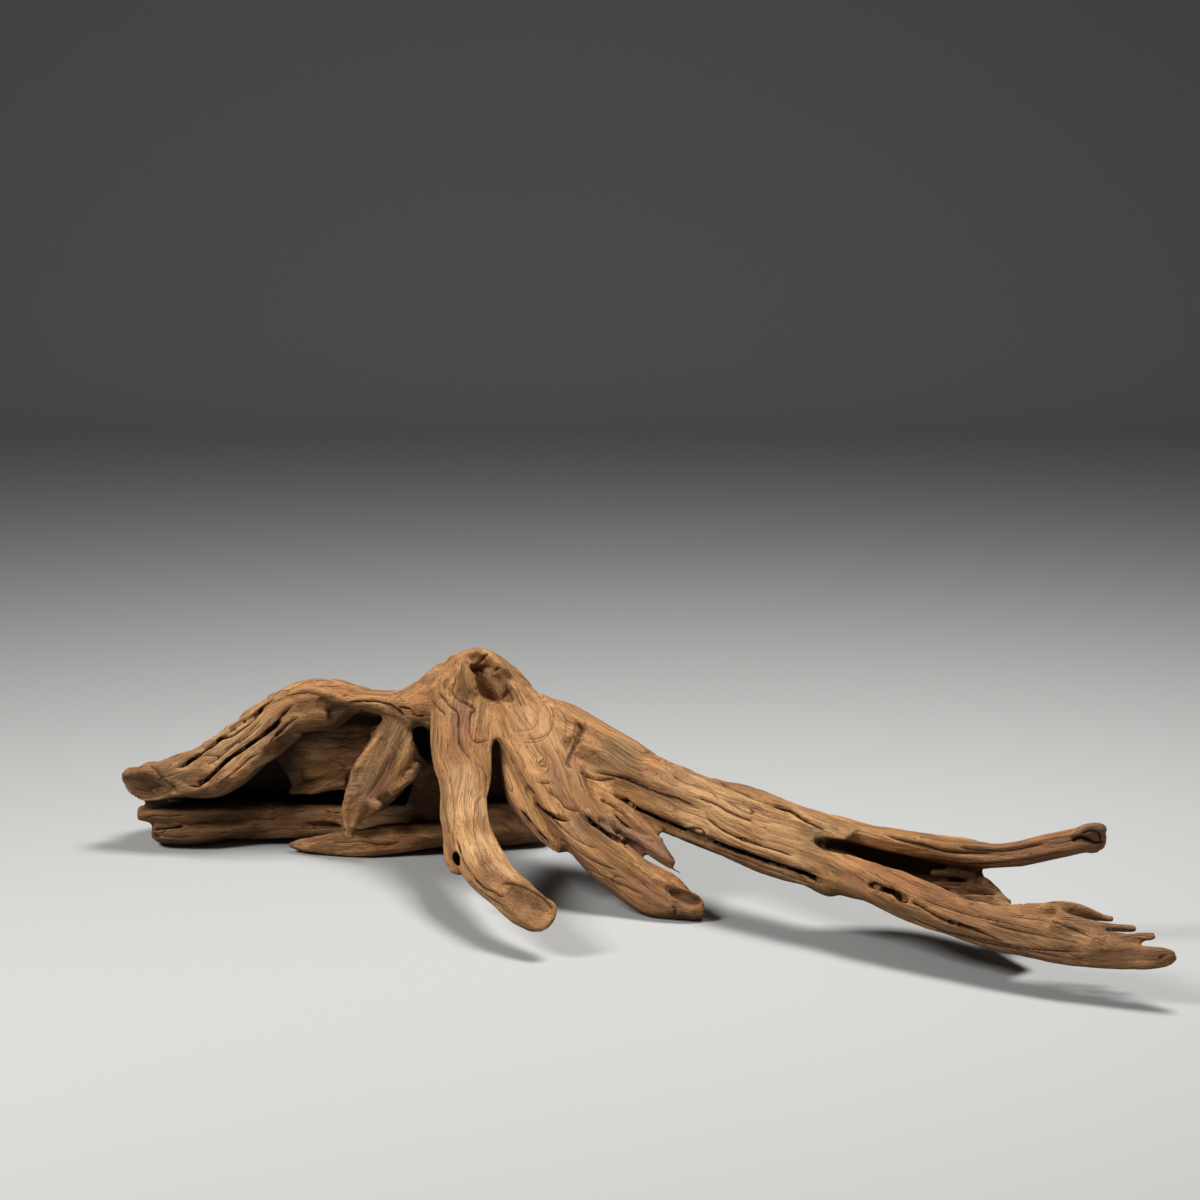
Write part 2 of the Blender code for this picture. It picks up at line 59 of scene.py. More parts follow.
def report(words):
    print("driftwood:", words, f"({time.time() - started:.1f} s)")


# the view of the photograph, found from the table edges and the shadows
view = {
    "eye": Vector((0.0048206, -1.6417141, 0.510)),
    "tilt": 80.0,
    "lens": 72.0,
    "sensor": 36.0,
    "picture": 1200,
    "nearest": 0.01,
}
eyeSpot = view["eye"] * 1000
eyePlace = np.array(view["eye"]) * 1000
drawnShift = np.array(Vector((4.8206, 8.2859, 0.0)))  # from the drawing to the frame


def sightLine(px, py):
    half = view["picture"] / 2
    reach = view["picture"] * view["lens"] / view["sensor"]
    ray = Vector(((px - half) / reach, (half - py) / reach, -1.0))
    return (Matrix.Rotation(math.radians(view["tilt"]), 3, "X") @ ray).normalized()


# the place on the wood behind a pixel of the photograph, and the way out of the wood there
def seenSpot(skin, px, py):
    return skin.ray_cast(eyeSpot, sightLine(px, py))[:2]


# a smooth curve through the rows
def smoothRows(rows, parts):
    rows = np.array(rows, dtype=float)
    padded = np.vstack([2 * rows[0] - rows[1], rows, 2 * rows[-1] - rows[-2]])
    out = []
    for place in range(len(rows) - 1):
        a, b, c, d = padded[place:place + 4]
        for part in range(parts):
            t = part / parts
            out.append(0.5 * (2 * b + (c - a) * t + (2 * a - 5 * b + 4 * c - d) * t ** 2
                              + (3 * b - a - 3 * c + d) * t ** 3))
    out.append(rows[-1])
    return np.array(out)


def unit(vectors):
    return vectors / np.maximum(np.linalg.norm(vectors, axis=-1, keepdims=True), 1e-9)


def easedStep(low, high, values):
    t = np.clip((values - low) / (high - low), 0.0, 1.0)
    return t * t * (3 - 2 * t)


# which points lie round the nodes
def roundNodes(points, nodes, margin):
    near = (points > nodes.min(0) - margin) & (points < nodes.max(0) + margin)
    return np.flatnonzero(near.all(axis=1))


# smooth values from -1 to 1, the same each run
def cloud(points, seed):
    cell = np.floor(points).astype(np.int64)
    part = points - cell
    part = part * part * part * (part * (part * 6 - 15) + 10)
    total = np.zeros(len(points))
    for corner in range(8):
        step = np.array([corner & 1, corner >> 1 & 1, corner >> 2 & 1])
        x, y, z = (cell + step).T
        mixed = (x * 73856093) ^ (y * 19349663) ^ (z * 83492791) ^ (seed * 7919)
        mixed &= 0xffffffff
        mixed = ((mixed ^ (mixed >> 13)) * 1274126177) & 0xffffffff
        mixed = mixed ^ (mixed >> 16)
        share = np.where(step == 1, part, 1 - part).prod(axis=1)
        total += ((mixed & 0xffff) / 32767.5 - 1) * share
    return total


# which way the fibres run: the family and how rough the limb is worn, then a line through
# the limb, x y z and radius in the drawing's millimetres
grainLines = {
    "crown": (0, 0.35, [(-176, 132, 118, 15), (-143, 122, 118, 22), (-108, 112, 122, 32),
        (-79, 106, 120, 34), (-42, 92, 104, 30), (0, 68, 90, 26), (30, 44, 78, 20)]),
    "legOne": (1, 0.2, [(-92, 104, 164, 14), (-98, 88, 136, 19), (-101, 60, 98, 20),
        (-98, 40, 83, 19), (-97, 16, 69, 17), (-94, -12, 57, 15), (-87, -42, 48, 14),
        (-77, -68, 41, 14), (-64, -92, 37, 13), (-50, -112, 34, 12), (-32, -131, 31, 9)]),
    "legTwo": (2, 0.7, [(-74, 98, 146, 14), (-60, 80, 118, 20), (-48, 60, 98, 24),
        (-33, 28, 74, 22), (-18, 8, 57, 19), (0, -10, 41, 17), (20, -23, 27, 16),
        (38, -32, 17, 15), (54, -38, 11, 12), (70, -43, 9, 8)]),
    "legTwoFinger": (0, 0.3, [(2, 20, 64, 9), (24, 2, 52, 10), (38, -9, 44, 8),
        (54, -20, 33, 5)]),
    "longLimb": (1, 0.8, [(-52, 90, 118, 14), (-34, 80, 107, 20), (-8, 62, 96, 23),
        (16, 44, 86, 23), (42, 22, 77, 22), (78, -10, 69, 23), (114, -44, 63, 24),
        (146, -74, 58, 22), (179, -108, 48, 15), (204, -130, 42, 14), (233, -152, 37, 14),
        (262, -174, 33, 14), (290, -192, 31, 12), (316, -206, 30, 9), (357, -225, 35, 6)]),
    "upperProng": (2, 0.7, [(136, -60, 72, 11), (176, -80, 71, 11), (202, -88, 68, 10),
        (235, -93, 64, 10), (268, -99, 63, 9), (294, -100, 68, 10), (338, -100, 75, 9)]),
    "prongWeb": (0, 0.9, [(150, -78, 58, 14), (190, -90, 50, 17), (234, -97, 43, 17),
        (276, -106, 28, 9)]),
    "prongFingers": (0, 0.5, [(276, -176, 42, 9), (310, -186, 44, 9), (345, -194, 43, 8)]),
    "arm": (2, 0.85, [(-368, 141, 60, 10), (-345, 138, 54, 16), (-311, 134, 60, 17),
        (-292, 132, 66, 18), (-271, 131, 82, 18), (-248, 131, 100, 17), (-226, 131, 110, 15),
        (-196, 129, 116, 12), (-160, 122, 116, 9)]),
    "log": (1, 0.65, [(-352, 160, 40, 22), (-310, 160, 52, 36), (-270, 160, 66, 46),
        (-230, 162, 74, 52), (-190, 164, 74, 52), (-140, 160, 72, 50), (-90, 154, 72, 46),
        (-50, 140, 66, 36), (-28, 122, 62, 28)]),
    "block": (0, 0.9, [(-358, 146, 18, 12), (-312, 152, 16, 18), (-262, 158, 16, 16),
        (-200, 164, 16, 15), (-130, 164, 16, 15), (-60, 154, 20, 12)]),
    "footRoot": (2, 0.7, [(-239, 131, 5, 4), (-210, 126, 7, 9), (-180, 126, 10, 12),
        (-150, 132, 11, 12), (-100, 141, 12, 12), (-40, 149, 12, 8)]),
    "innerWall": (0, 0.7, [(-262, 152, 30, 12), (-236, 148, 44, 15), (-206, 146, 60, 17),
        (-180, 146, 76, 18), (-156, 145, 92, 17), (-138, 144, 106, 14)]),
    "tongue": (2, 0.6, [(-138, 114, 118, 14), (-147, 117, 100, 17), (-156, 118, 82, 18),
        (-164, 117, 65, 17), (-174, 116, 50, 13), (-189, 112, 28, 7), (-191, 111, 21, 4)]),
}

# places the fibres flow round: the pixel in the photograph and the reach in millimetres
knots = [(446, 684, 9.0), (541, 764, 6.0), (668, 762, 12.0)]

flow = {
    "families": 3, "steps": 4,
    "margin": 3.2,  # how far round a limb its fibres reach, in radii
    "handover": 3.5, "outermost": 9,  # how quickly one limb's fibres give way to another's
    "limbApart": (370.0, 90.0, 70.0),  # so that no two limbs have the same pattern
    "wander": 3.2, "wanderReach": 34.0,
    "knotAcross": 1.6, "knotBehind": 1.2, "knotLift": 8.0,
}


def grainFrame(line):
    rows = smoothRows(line, flow["steps"])
    centres = rows[:, :3] + drawnShift
    along = unit(np.gradient(centres, axis=0))
    across = unit(np.cross(along, eyePlace - centres))
    outward = np.cross(across, along)
    legs = np.linalg.norm(np.diff(centres, axis=0), axis=1)
    return centres, rows[:, 3], across, outward, np.concatenate([[0], np.cumsum(legs)])


# how far off the limb a point is, in radii, and its place along, across and behind
def alongLimb(points, line):
    centres, radii, across, outward, run = grainFrame(line)
    best = np.full(len(points), np.inf)
    ratio = np.full(len(points), 99.0)
    place = np.zeros((len(points), 3))
    for start in range(len(centres) - 1):
        leg = centres[start + 1] - centres[start]
        length = np.linalg.norm(leg)
        gap = points - centres[start]
        t = np.clip(gap @ leg / length ** 2, 0.0, 1.0)
        off = gap - t[:, None] * leg
        far = np.linalg.norm(off, axis=1)
        closer = far < best
        best = np.where(closer, far, best)
        radius = radii[start] + t * (radii[start + 1] - radii[start])
        side = across[start] + t[:, None] * (across[start + 1] - across[start])
        front = outward[start] + t[:, None] * (outward[start + 1] - outward[start])
        found = [run[start] + t * length, (off * side).sum(1), (off * front).sum(1)]
        place[closer] = np.stack(found, axis=1)[closer]
        ratio[closer] = (far / radius)[closer]
    return ratio, place


# fibre places in three families that fade into each other, so that limbs meet without a seam
def grainField(points, knotSpots):
    count = len(points)
    ratios = np.full((flow["families"], count), 99.0)
    places = np.zeros((flow["families"], count, 3))
    reliefs = np.ones((flow["families"], count))
    for seed, (family, roughness, line) in enumerate(grainLines.values()):
        nodes = np.array(line)[:, :3] + drawnShift
        margin = flow["margin"] * max(row[3] for row in line)
        spots = roundNodes(points, nodes, margin)
        if not len(spots):
            continue
        ratio, place = alongLimb(points[spots], line)
        closer = ratio < ratios[family, spots]
        chosen = spots[closer]
        ratios[family, chosen] = ratio[closer]
        places[family, chosen] = place[closer] + seed * np.array(flow["limbApart"])
        reliefs[family, chosen] = roughness
    wander = np.stack([cloud(points / flow["wanderReach"], 5 + axis) for axis in range(3)], axis=1)
    places[:, :, 1:] += flow["wander"] * wander[None, :, 1:]
    ratios = np.minimum(ratios, flow["outermost"])
    share = np.exp(-flow["handover"] * (ratios ** 2 - ratios.min(0) ** 2))
    share /= share.sum(0)
    for spot, reach in knotSpots:
        far = np.linalg.norm(points - spot, axis=1)
        near = np.exp(-(far / reach) ** 2)
        for family in range(flow["families"]):
            places[family, :, 1] += near * (far * flow["knotAcross"] - flow["knotLift"])
            places[family, :, 2] += near * (far * flow["knotBehind"])
    return places, share, reliefs


# lines carved into the wood: width and depth in millimetres, how dark, then the photograph's
# pixels that they run through; a line with no darkness only hollows or raises the wood
armLines = {
    "ridgeCrack": (3.0, 2.6, 0.95, [(172, 768), (180, 767), (190, 762), (198, 757), (205, 750),
        (212, 747), (220, 740), (230, 736), (240, 730), (250, 722), (258, 714), (265, 705),
        (272, 699), (280, 694), (290, 690)]),
    "middleCrack": (3.2, 3.2, 1.0, [(300, 702), (290, 707), (283, 715), (278, 722), (272, 729),
        (262, 737), (250, 745), (242, 751), (232, 757), (225, 763), (218, 771), (210, 778),
        (203, 783), (195, 786), (188, 784), (180, 780)]),
    "lowerGroove": (2.2, 2.0, 0.8, [(300, 715), (290, 722), (282, 730), (275, 737), (270, 745),
        (262, 750)]),
    "edgeFold": (2.6, 2.0, 0.7, [(262, 751), (250, 757), (240, 766), (232, 773), (226, 780),
        (218, 786)]),
    "fineOne": (1.5, 1.2, 0.7, [(262, 722), (254, 730), (244, 738), (232, 746), (222, 752)]),
    "fineTwo": (1.4, 1.0, 0.6, [(236, 744), (226, 752), (216, 760), (206, 766)]),
    "endNotch": (3.0, 1.6, 0.5, [(149, 763), (154, 768), (160, 775), (170, 785), (180, 793)]),
    "blockCrack": (2.4, 3.4, 1.0, [(139, 829), (147, 831), (158, 829), (170, 827), (185, 826)]),
    "blockFine": (1.5, 1.3, 0.7, [(142, 820), (155, 816), (170, 817), (186, 815)]),
    "blockLow": (1.5, 1.3, 0.7, [(150, 839), (162, 836), (178, 838), (196, 836)]),
}
logLines = {
    "rimGroove": (2.6, 2.6, 0.9, [(345, 703), (360, 702), (375, 701), (385, 703), (393, 707),
        (400, 712), (405, 718)]),
    "roofCrack": (2.0, 2.4, 1.0, [(398, 707), (402, 708), (410, 710), (415, 716), (420, 717),
        (425, 716)]),
    "wallGroove": (1.4, 0.8, 0.5, [(326, 786), (330, 784), (340, 781), (350, 779)]),
    "plankSlit": (2.0, 2.2, 0.9, [(326, 810), (334, 812), (345, 815)]),
    "footGroove": (1.6, 1.4, 0.7, [(330, 841), (345, 843), (362, 842), (380, 845), (400, 843)]),
}
crownLines = {
    "leftFlow": (2.0, 1.5, 0.55, [(436, 690), (442, 697), (450, 706), (456, 712), (458, 720),
        (459, 740), (462, 748), (468, 755), (473, 762)]),
    "middleFlow": (1.9, 1.6, 0.5, [(455, 672), (456, 680), (453, 690), (456, 697), (462, 701),
        (470, 706), (474, 710), (472, 714), (470, 720), (470, 730), (472, 738), (478, 742),
        (487, 740), (492, 741)]),
    "leftShort": (1.6, 1.0, 0.6, [(430, 700), (440, 710), (446, 715)]),
    "rightFlow": (1.6, 1.0, 0.3, [(548, 700), (553, 715), (552, 727), (546, 734), (536, 738),
        (522, 738)]),
    "basinRayOne": (1.4, 1.2, 0.7, [(512, 688), (517, 697), (522, 707)]),
    "basinRayTwo": (1.4, 1.2, 0.7, [(517, 686), (522, 696), (526, 707)]),
    "basinRayThree": (1.3, 1.0, 0.6, [(506, 682), (509, 692), (513, 701)]),
    "capCrackOne": (1.6, 1.8, 0.9, [(470, 665), (477, 665), (484, 657), (488, 653)]),
    "capCrackTwo": (1.6, 1.8, 0.9, [(478, 668), (486, 673), (494, 671), (500, 667)]),
    "knotCrack": (2.2, 3.2, 1.0, [(475, 688), (481, 691), (487, 694)]),
    "creaseValley": (16, 2.6, 0, [(574, 704), (579, 716), (580, 728), (577, 738), (572, 750),
        (568, 762), (572, 772)]),
    "creaseClosing": (6.5, -3.3, 0, [(577, 710), (579, 720), (580, 728), (577, 738), (573, 748),
        (570, 760)]),
    "crease": (3.2, 1.4, 0.55, [(578, 722), (580, 730), (577, 740), (573, 750), (569, 760),
        (574, 768)]),
    "basinFilling": (22, -1.5, 0, [(480, 674), (490, 681), (500, 690), (508, 698)]),
    "basinLip": (7, -1.8, 0, [(468, 658), (466, 670), (468, 682), (472, 694)]),
    "flowOne": (1.2, 0.6, 0.35, [(532, 690), (543, 701), (550, 714), (551, 728), (544, 738),
        (531, 742), (518, 742)]),
    "flowTwo": (1.1, 0.5, 0.3, [(524, 700), (535, 710), (538, 720), (532, 728), (520, 731),
        (508, 728)]),
    "flowThree": (1.2, 0.6, 0.35, [(552, 700), (562, 712), (566, 726), (562, 742)]),
}
legLines = {
    "legOneLineOne": (1.4, 0.7, 0.4, [(446, 770), (452, 790), (454, 815), (452, 840),
        (460, 862)]),
    "legOneLineTwo": (1.4, 0.7, 0.4, [(484, 790), (475, 812), (474, 835), (484, 860),
        (497, 880)]),
    "scarfRim": (2.0, 1.2, 0.6, [(500, 884), (512, 884), (525, 888), (538, 895), (547, 903),
        (554, 912)]),
    "scarfFace": (16, 1.8, 0, [(505, 894), (520, 899), (535, 908), (546, 917)]),
    "kneeLine": (1.5, 0.9, 0.4, [(474, 762), (484, 770), (487, 785), (484, 800)]),
    "finSeam": (2.0, 2.4, 0.9, [(456, 838), (459, 850), (465, 866), (475, 880), (483, 888),
        (495, 894), (507, 898)]),
    "underSeam": (2.0, 2.2, 0.9, [(468, 880), (478, 890), (490, 899), (505, 909)]),
    "frontCrack": (3.2, 4.6, 1.0, [(517, 772), (521, 778), (527, 787), (533, 795), (537, 805),
        (543, 811), (550, 815), (560, 818), (575, 821)]),
    "knotTail": (1.3, 1.0, 0.6, [(536, 781), (543, 783), (551, 783)]),
    "underCrack": (2.8, 4.6, 1.0, [(518, 808), (530, 822), (540, 835), (550, 845), (560, 853),
        (575, 862), (590, 868)]),
    "fingerGroove": (3.0, 4.2, 1.0, [(584, 815), (592, 823), (600, 828), (610, 836), (620, 843),
        (632, 848), (640, 851), (650, 858)]),
    "fingerTop": (2.2, 3.0, 1.0, [(612, 812), (622, 822), (634, 831), (646, 839), (655, 843)]),
    "fineOne": (1.4, 1.1, 0.7, [(545, 812), (560, 826), (578, 840), (600, 850)]),
    "fineTwo": (1.4, 1.1, 0.7, [(556, 836), (575, 850), (596, 862), (622, 872)]),
    "fineThree": (1.5, 1.4, 0.8, [(585, 868), (605, 878), (625, 886), (645, 896)]),
    "fineFour": (1.3, 1.0, 0.7, [(545, 790), (558, 798), (566, 808), (584, 812)]),
    "endStub": (1.8, 1.8, 0.8, [(672, 905), (675, 911), (674, 917)]),
}
limbLines = {
    "blackCrack": (3.0, 6.5, 1.0, [(598, 789), (610, 792), (620, 797), (630, 803), (640, 809),
        (650, 814), (660, 818), (670, 822), (680, 827), (700, 831), (705, 835), (712, 839),
        (725, 845), (740, 851), (755, 856), (765, 860), (780, 866), (795, 870), (808, 874),
        (820, 881), (830, 884)]),
    "upperCrack": (1.6, 1.8, 0.9, [(578, 771), (590, 777), (602, 780), (617, 779)]),
    "ridgeGroove": (2.2, 2.6, 0.9, [(718, 779), (722, 781), (728, 787), (735, 791), (745, 795),
        (758, 801), (780, 808), (790, 811), (800, 817), (810, 823), (820, 828), (828, 832)]),
    "middleOne": (1.9, 2.0, 0.85, [(590, 771), (610, 775), (630, 780), (650, 789), (665, 795),
        (680, 800), (700, 808)]),
    "middleTwo": (1.7, 1.8, 0.8, [(690, 795), (715, 804), (725, 810), (740, 817), (755, 822)]),
    "middleThree": (1.7, 1.8, 0.8, [(700, 812), (720, 828), (740, 838), (760, 845), (780, 851),
        (795, 857)]),
    "kneeGroove": (1.5, 1.2, 0.6, [(644, 752), (652, 751), (662, 753), (670, 758)]),
    "stripGroove": (1.6, 1.5, 0.8, [(700, 844), (725, 853), (750, 862), (775, 872), (800, 881),
        (820, 888)]),
    "prongSlot": (4.2, 6.0, 1.0, [(866, 884), (880, 886), (890, 891), (900, 898), (909, 901)]),
    "prongCrack": (2.0, 2.8, 0.95, [(909, 901), (920, 905), (940, 918), (960, 925), (985, 935),
        (1005, 945)]),
    "prongFine": (1.5, 1.4, 0.8, [(915, 897), (940, 905), (965, 913), (990, 919), (1020, 925),
        (1060, 932), (1082, 936)]),
    "prongLow": (1.5, 1.4, 0.8, [(930, 930), (960, 938), (990, 945), (1030, 952), (1070, 958)]),
    "upperGroove": (1.8, 1.8, 0.9, [(880, 832), (900, 840), (925, 846), (950, 852), (975, 853),
        (1000, 853)]),
    "upperFine": (1.4, 1.2, 0.8, [(955, 846), (975, 850), (1000, 851), (1025, 848), (1050, 842)]),
    "webOne": (2.0, 2.6, 1.0, [(940, 884), (958, 884), (974, 883), (986, 882)]),
    "webTwo": (2.0, 2.6, 1.0, [(955, 893), (975, 893), (998, 893)]),
    "webThree": (1.8, 2.2, 1.0, [(968, 904), (990, 904), (1010, 905)]),
    "tipNotch": (3.0, 3.2, 0.9, [(1070, 841), (1080, 838), (1090, 840), (1098, 843),
        (1106, 841)]),
    "tipFold": (2.2, 2.0, 0.9, [(1080, 834), (1092, 831), (1100, 835), (1102, 845)]),
    "upperUnder": (1.5, 1.0, 0.6, [(930, 860), (960, 864), (990, 864), (1020, 861), (1050, 855),
        (1075, 848)]),
    "bodyOne": (1.6, 1.4, 0.7, [(905, 915), (925, 925), (950, 934), (980, 940), (1010, 946),
        (1050, 950), (1090, 952)]),
    "bodyTwo": (1.4, 1.0, 0.6, [(1000, 914), (1030, 918), (1055, 922), (1075, 930), (1100, 939),
        (1112, 943)]),
    "bodyThree": (1.4, 1.0, 0.6, [(985, 922), (1015, 930), (1050, 937), (1085, 944)]),
    "holeNearTip": (2.6, 2.4, 1.0, [(1114, 944), (1120, 945), (1126, 946)]),
}
carvedLines = [armLines, logLines, crownLines, legLines, limbLines]

carving = {
    "steps": 12,  # spots between two pixels of a line
    "jump": 14,  # millimetres; a spot further off lies on another limb
    "easing": 3, "end": 0.14,
    "reach": 2.4, "leastReach": 6.0,  # how far a line is followed, in widths and millimetres
    "uneven": 0.3, "unevenReach": 7.0,
    "cut": 1.35, "leastCut": 1.7, "round": 1.5,  # the cut's half width, in the line's half widths
    "lip": 0.09, "lipAt": 1.7, "lipWidth": 0.6,  # the edge stands up by this share of the depth
    "core": 0.62,  # the share of the width that is dark
    "fadeFrom": 0.45, "fadeTo": 0.9,
    "sets": 3,
}


# the line on the wood's own surface, every half millimetre or so, and the way out of the wood
def lineSpots(line, skin):
    found = []
    for px, py in smoothRows(line, carving["steps"]):
        spot, normal = seenSpot(skin, px, py)
        if spot is None:
            continue
        if found and (spot - Vector(found[-1][:3])).length > carving["jump"]:
            continue
        found.append((*spot, *normal))
    found = np.array(found).reshape(-1, 6)
    for easing in range(carving["easing"]):
        found[1:-1] = (found[:-2] + 2 * found[1:-1] + found[2:]) / 4
    return found[:, :3], found[:, 3:]


# how far each point is from the line, where along it, and on which side
def besideLine(points, spots, normals):
    closest = np.full(len(points), np.inf)
    where = np.zeros(len(points))
    side = np.ones(len(points))
    for place in range(len(spots) - 1):
        leg = spots[place + 1] - spots[place]
        gap = points - spots[place]
        t = np.clip(gap @ leg / max(leg @ leg, 1e-9), 0, 1)
        far = np.linalg.norm(gap - t[:, None] * leg, axis=1)
        closer = far < closest
        closest = np.where(closer, far, closest)
        where = np.where(closer, (place + t) / (len(spots) - 1), where)
        left = gap @ np.cross(normals[place], leg)
        side = np.where(closer, np.where(left < 0, -1.0, 1.0), side)
    return closest, where, side


# how deep each point is cut, how far it is from the line, to its left or right, and the line's
# half width there; the lines are dealt out to three sets, so that neighbours stay apart
def carve(points, skin):
    count = len(points)
    depth = np.zeros(count)
    swell = np.zeros(count)
    across = np.full((count, carving["sets"]), 9.0)
    halves = np.zeros((count, carving["sets"]))
    best = np.full((count, carving["sets"]), np.inf)
    dark = np.zeros(count)
    order = 0
    for name, stroke in [pair for group in carvedLines for pair in group.items()]:
        width, deep, darkness, line = stroke
        spots, normals = lineSpots(line, skin)
        if len(spots) < 3:
            print("no wood under the line", name)
            continue
        reach = max(carving["reach"] * width, carving["leastReach"])
        chosen = roundNodes(points, spots, reach)
        closest, where, side = besideLine(points[chosen], spots, normals)
        ends = easedStep(0.0, carving["end"], where) * easedStep(0.0, carving["end"], 1 - where)
        uneven = 1 + carving["uneven"] * cloud(points[chosen] / carving["unevenReach"], 91)
        half = width / 2 * uneven
        cutHalf = np.maximum(carving["cut"] * half, carving["leastCut"])
        profile = np.cos(np.pi / 2 * np.clip(closest / cutHalf, 0, 1)) ** carving["round"]
        cut = deep * profile * ends
        if darkness == 0:
            swell[chosen] += cut
            continue
        fromLip = (closest - carving["lipAt"] * cutHalf) / (carving["lipWidth"] * cutHalf)
        deeper = cut - carving["lip"] * deep * ends * np.exp(-fromLip ** 2)
        depth[chosen] = np.where(np.abs(deeper) > np.abs(depth[chosen]), deeper, depth[chosen])
        channel = order % carving["sets"]
        order += 1
        edge = carving["fadeTo"] * reach
        fade = 1 - easedStep(carving["fadeFrom"] * reach, edge, closest)
        won = (closest - half < best[chosen, channel]) & (closest < edge)
        spotsWon = chosen[won]
        best[spotsWon, channel] = (closest - half)[won]
        across[spotsWon, channel] = (closest * side)[won]
        halves[spotsWon, channel] = (carving["core"] * half * ends * fade)[won]
        dark[chosen] = np.maximum(dark[chosen], darkness * fade)
    return depth + swell, across, halves, dark


# worn relief along the fibres: run, pitch and depth in millimetres, and how narrow
relief = {
    "furrow": {"run": 190.0, "pitch": 9.5, "depth": 0.95, "narrow": 2.2, "seed": 11},
    "groove": {"run": 120.0, "pitch": 5.0, "depth": 0.6, "narrow": 2.6, "seed": 17},
    "check": {"run": 130.0, "pitch": 7.0, "depth": 1.1, "width": 0.05, "seed": 29},
    "break": {"run": 30.0, "pitch": 10.0, "seed": 43},
    "breakEdges": (-0.05, 0.3), "patchEdges": (-0.1, 0.3), "patchReach": 46.0,
    "swellReach": 26.0, "swellHeight": 0.7,
    "round": 1.5,
}


def wornRelief(points, knotSpots):
    places, share, reliefs = grainField(points, knotSpots)
    blend = share / np.sqrt((share ** 2).sum(0))
    amount = (share * reliefs).sum(0)

    def fibres(kind):
        run, pitch, seed = (relief[kind][name] for name in ("run", "pitch", "seed"))
        total = np.zeros(len(points))
        for family in range(flow["families"]):
            s, a, b = places[family].T
            cells = np.stack([s / run, a / pitch, b / pitch], axis=1)
            total += blend[family] * cloud(cells, seed + family)
        return total

    furrow, groove, check = (fibres(kind) for kind in ("furrow", "groove", "check"))
    patches = easedStep(*relief["breakEdges"], fibres("break"))
    split = easedStep(*relief["patchEdges"], cloud(points / relief["patchReach"], 31))
    patches *= split * np.clip(1.6 * amount - 0.6, 0, 1)
    depth = np.zeros(len(points))
    for kind, values in (("furrow", furrow), ("groove", groove)):
        valley = 1 - np.minimum(np.abs(values) * relief[kind]["narrow"], 1)
        depth += amount * relief[kind]["depth"] * valley ** relief["round"]
    width = relief["check"]["width"]
    opened = 1 - easedStep(0.5 * width, 2.4 * width, np.abs(check))
    depth += relief["check"]["depth"] * opened * patches
    depth += relief["swellHeight"] * cloud(points / relief["swellReach"], 37)
    return depth, np.stack([furrow, groove, check], axis=1), patches, amount, places, blend


# the wood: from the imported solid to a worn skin
wood = {
    "voxel": 1.15,  # millimetres
    "easing": 8,
    "backEasing": 70, "backFrom": 0.45,  # the side away from the photograph is worn rounder
    "sparedAt": (0.3, 2.0), "sparedCut": 0.6, "sparedDark": 0.7,  # less relief in and by cracks
    "triangles": 196000, "hiddenShare": 0.06, "leastHidden": 0.1,
    "under": (0.0, 0.7), "away": (-0.25, 0.35), "keptCut": (0.2, 1.0),
    "inside": 0.05,  # millimetres inside the solid's box
    "twigSides": 10,
}


def arrays(mesh):
    points = np.empty(len(mesh.vertices) * 3)
    mesh.vertices.foreach_get("co", points)
    normals = np.empty(len(mesh.vertices) * 3)
    mesh.vertex_normals.foreach_get("vector", normals)
    return points.reshape(-1, 3), normals.reshape(-1, 3)


def bodyTree(points, mesh):
    return BVHTree.FromPolygons(points.tolist(), [tuple(face.vertices) for face in mesh.polygons])


def movePoints(mesh, points):
    mesh.vertices.foreach_set("co", points.ravel())
    mesh.update()


def madeObject(name, mesh):
    made = bpy.data.objects.new(name, mesh)
    bpy.context.scene.collection.objects.link(made)
    return made


def applied(made):
    scene = bpy.context.evaluated_depsgraph_get()
    finished = made.evaluated_get(scene)
    mesh = bpy.data.meshes.new_from_object(finished, preserve_all_data_layers=True, depsgraph=scene)
    name = made.name
    bpy.data.objects.remove(made)
    return madeObject(name, mesh)


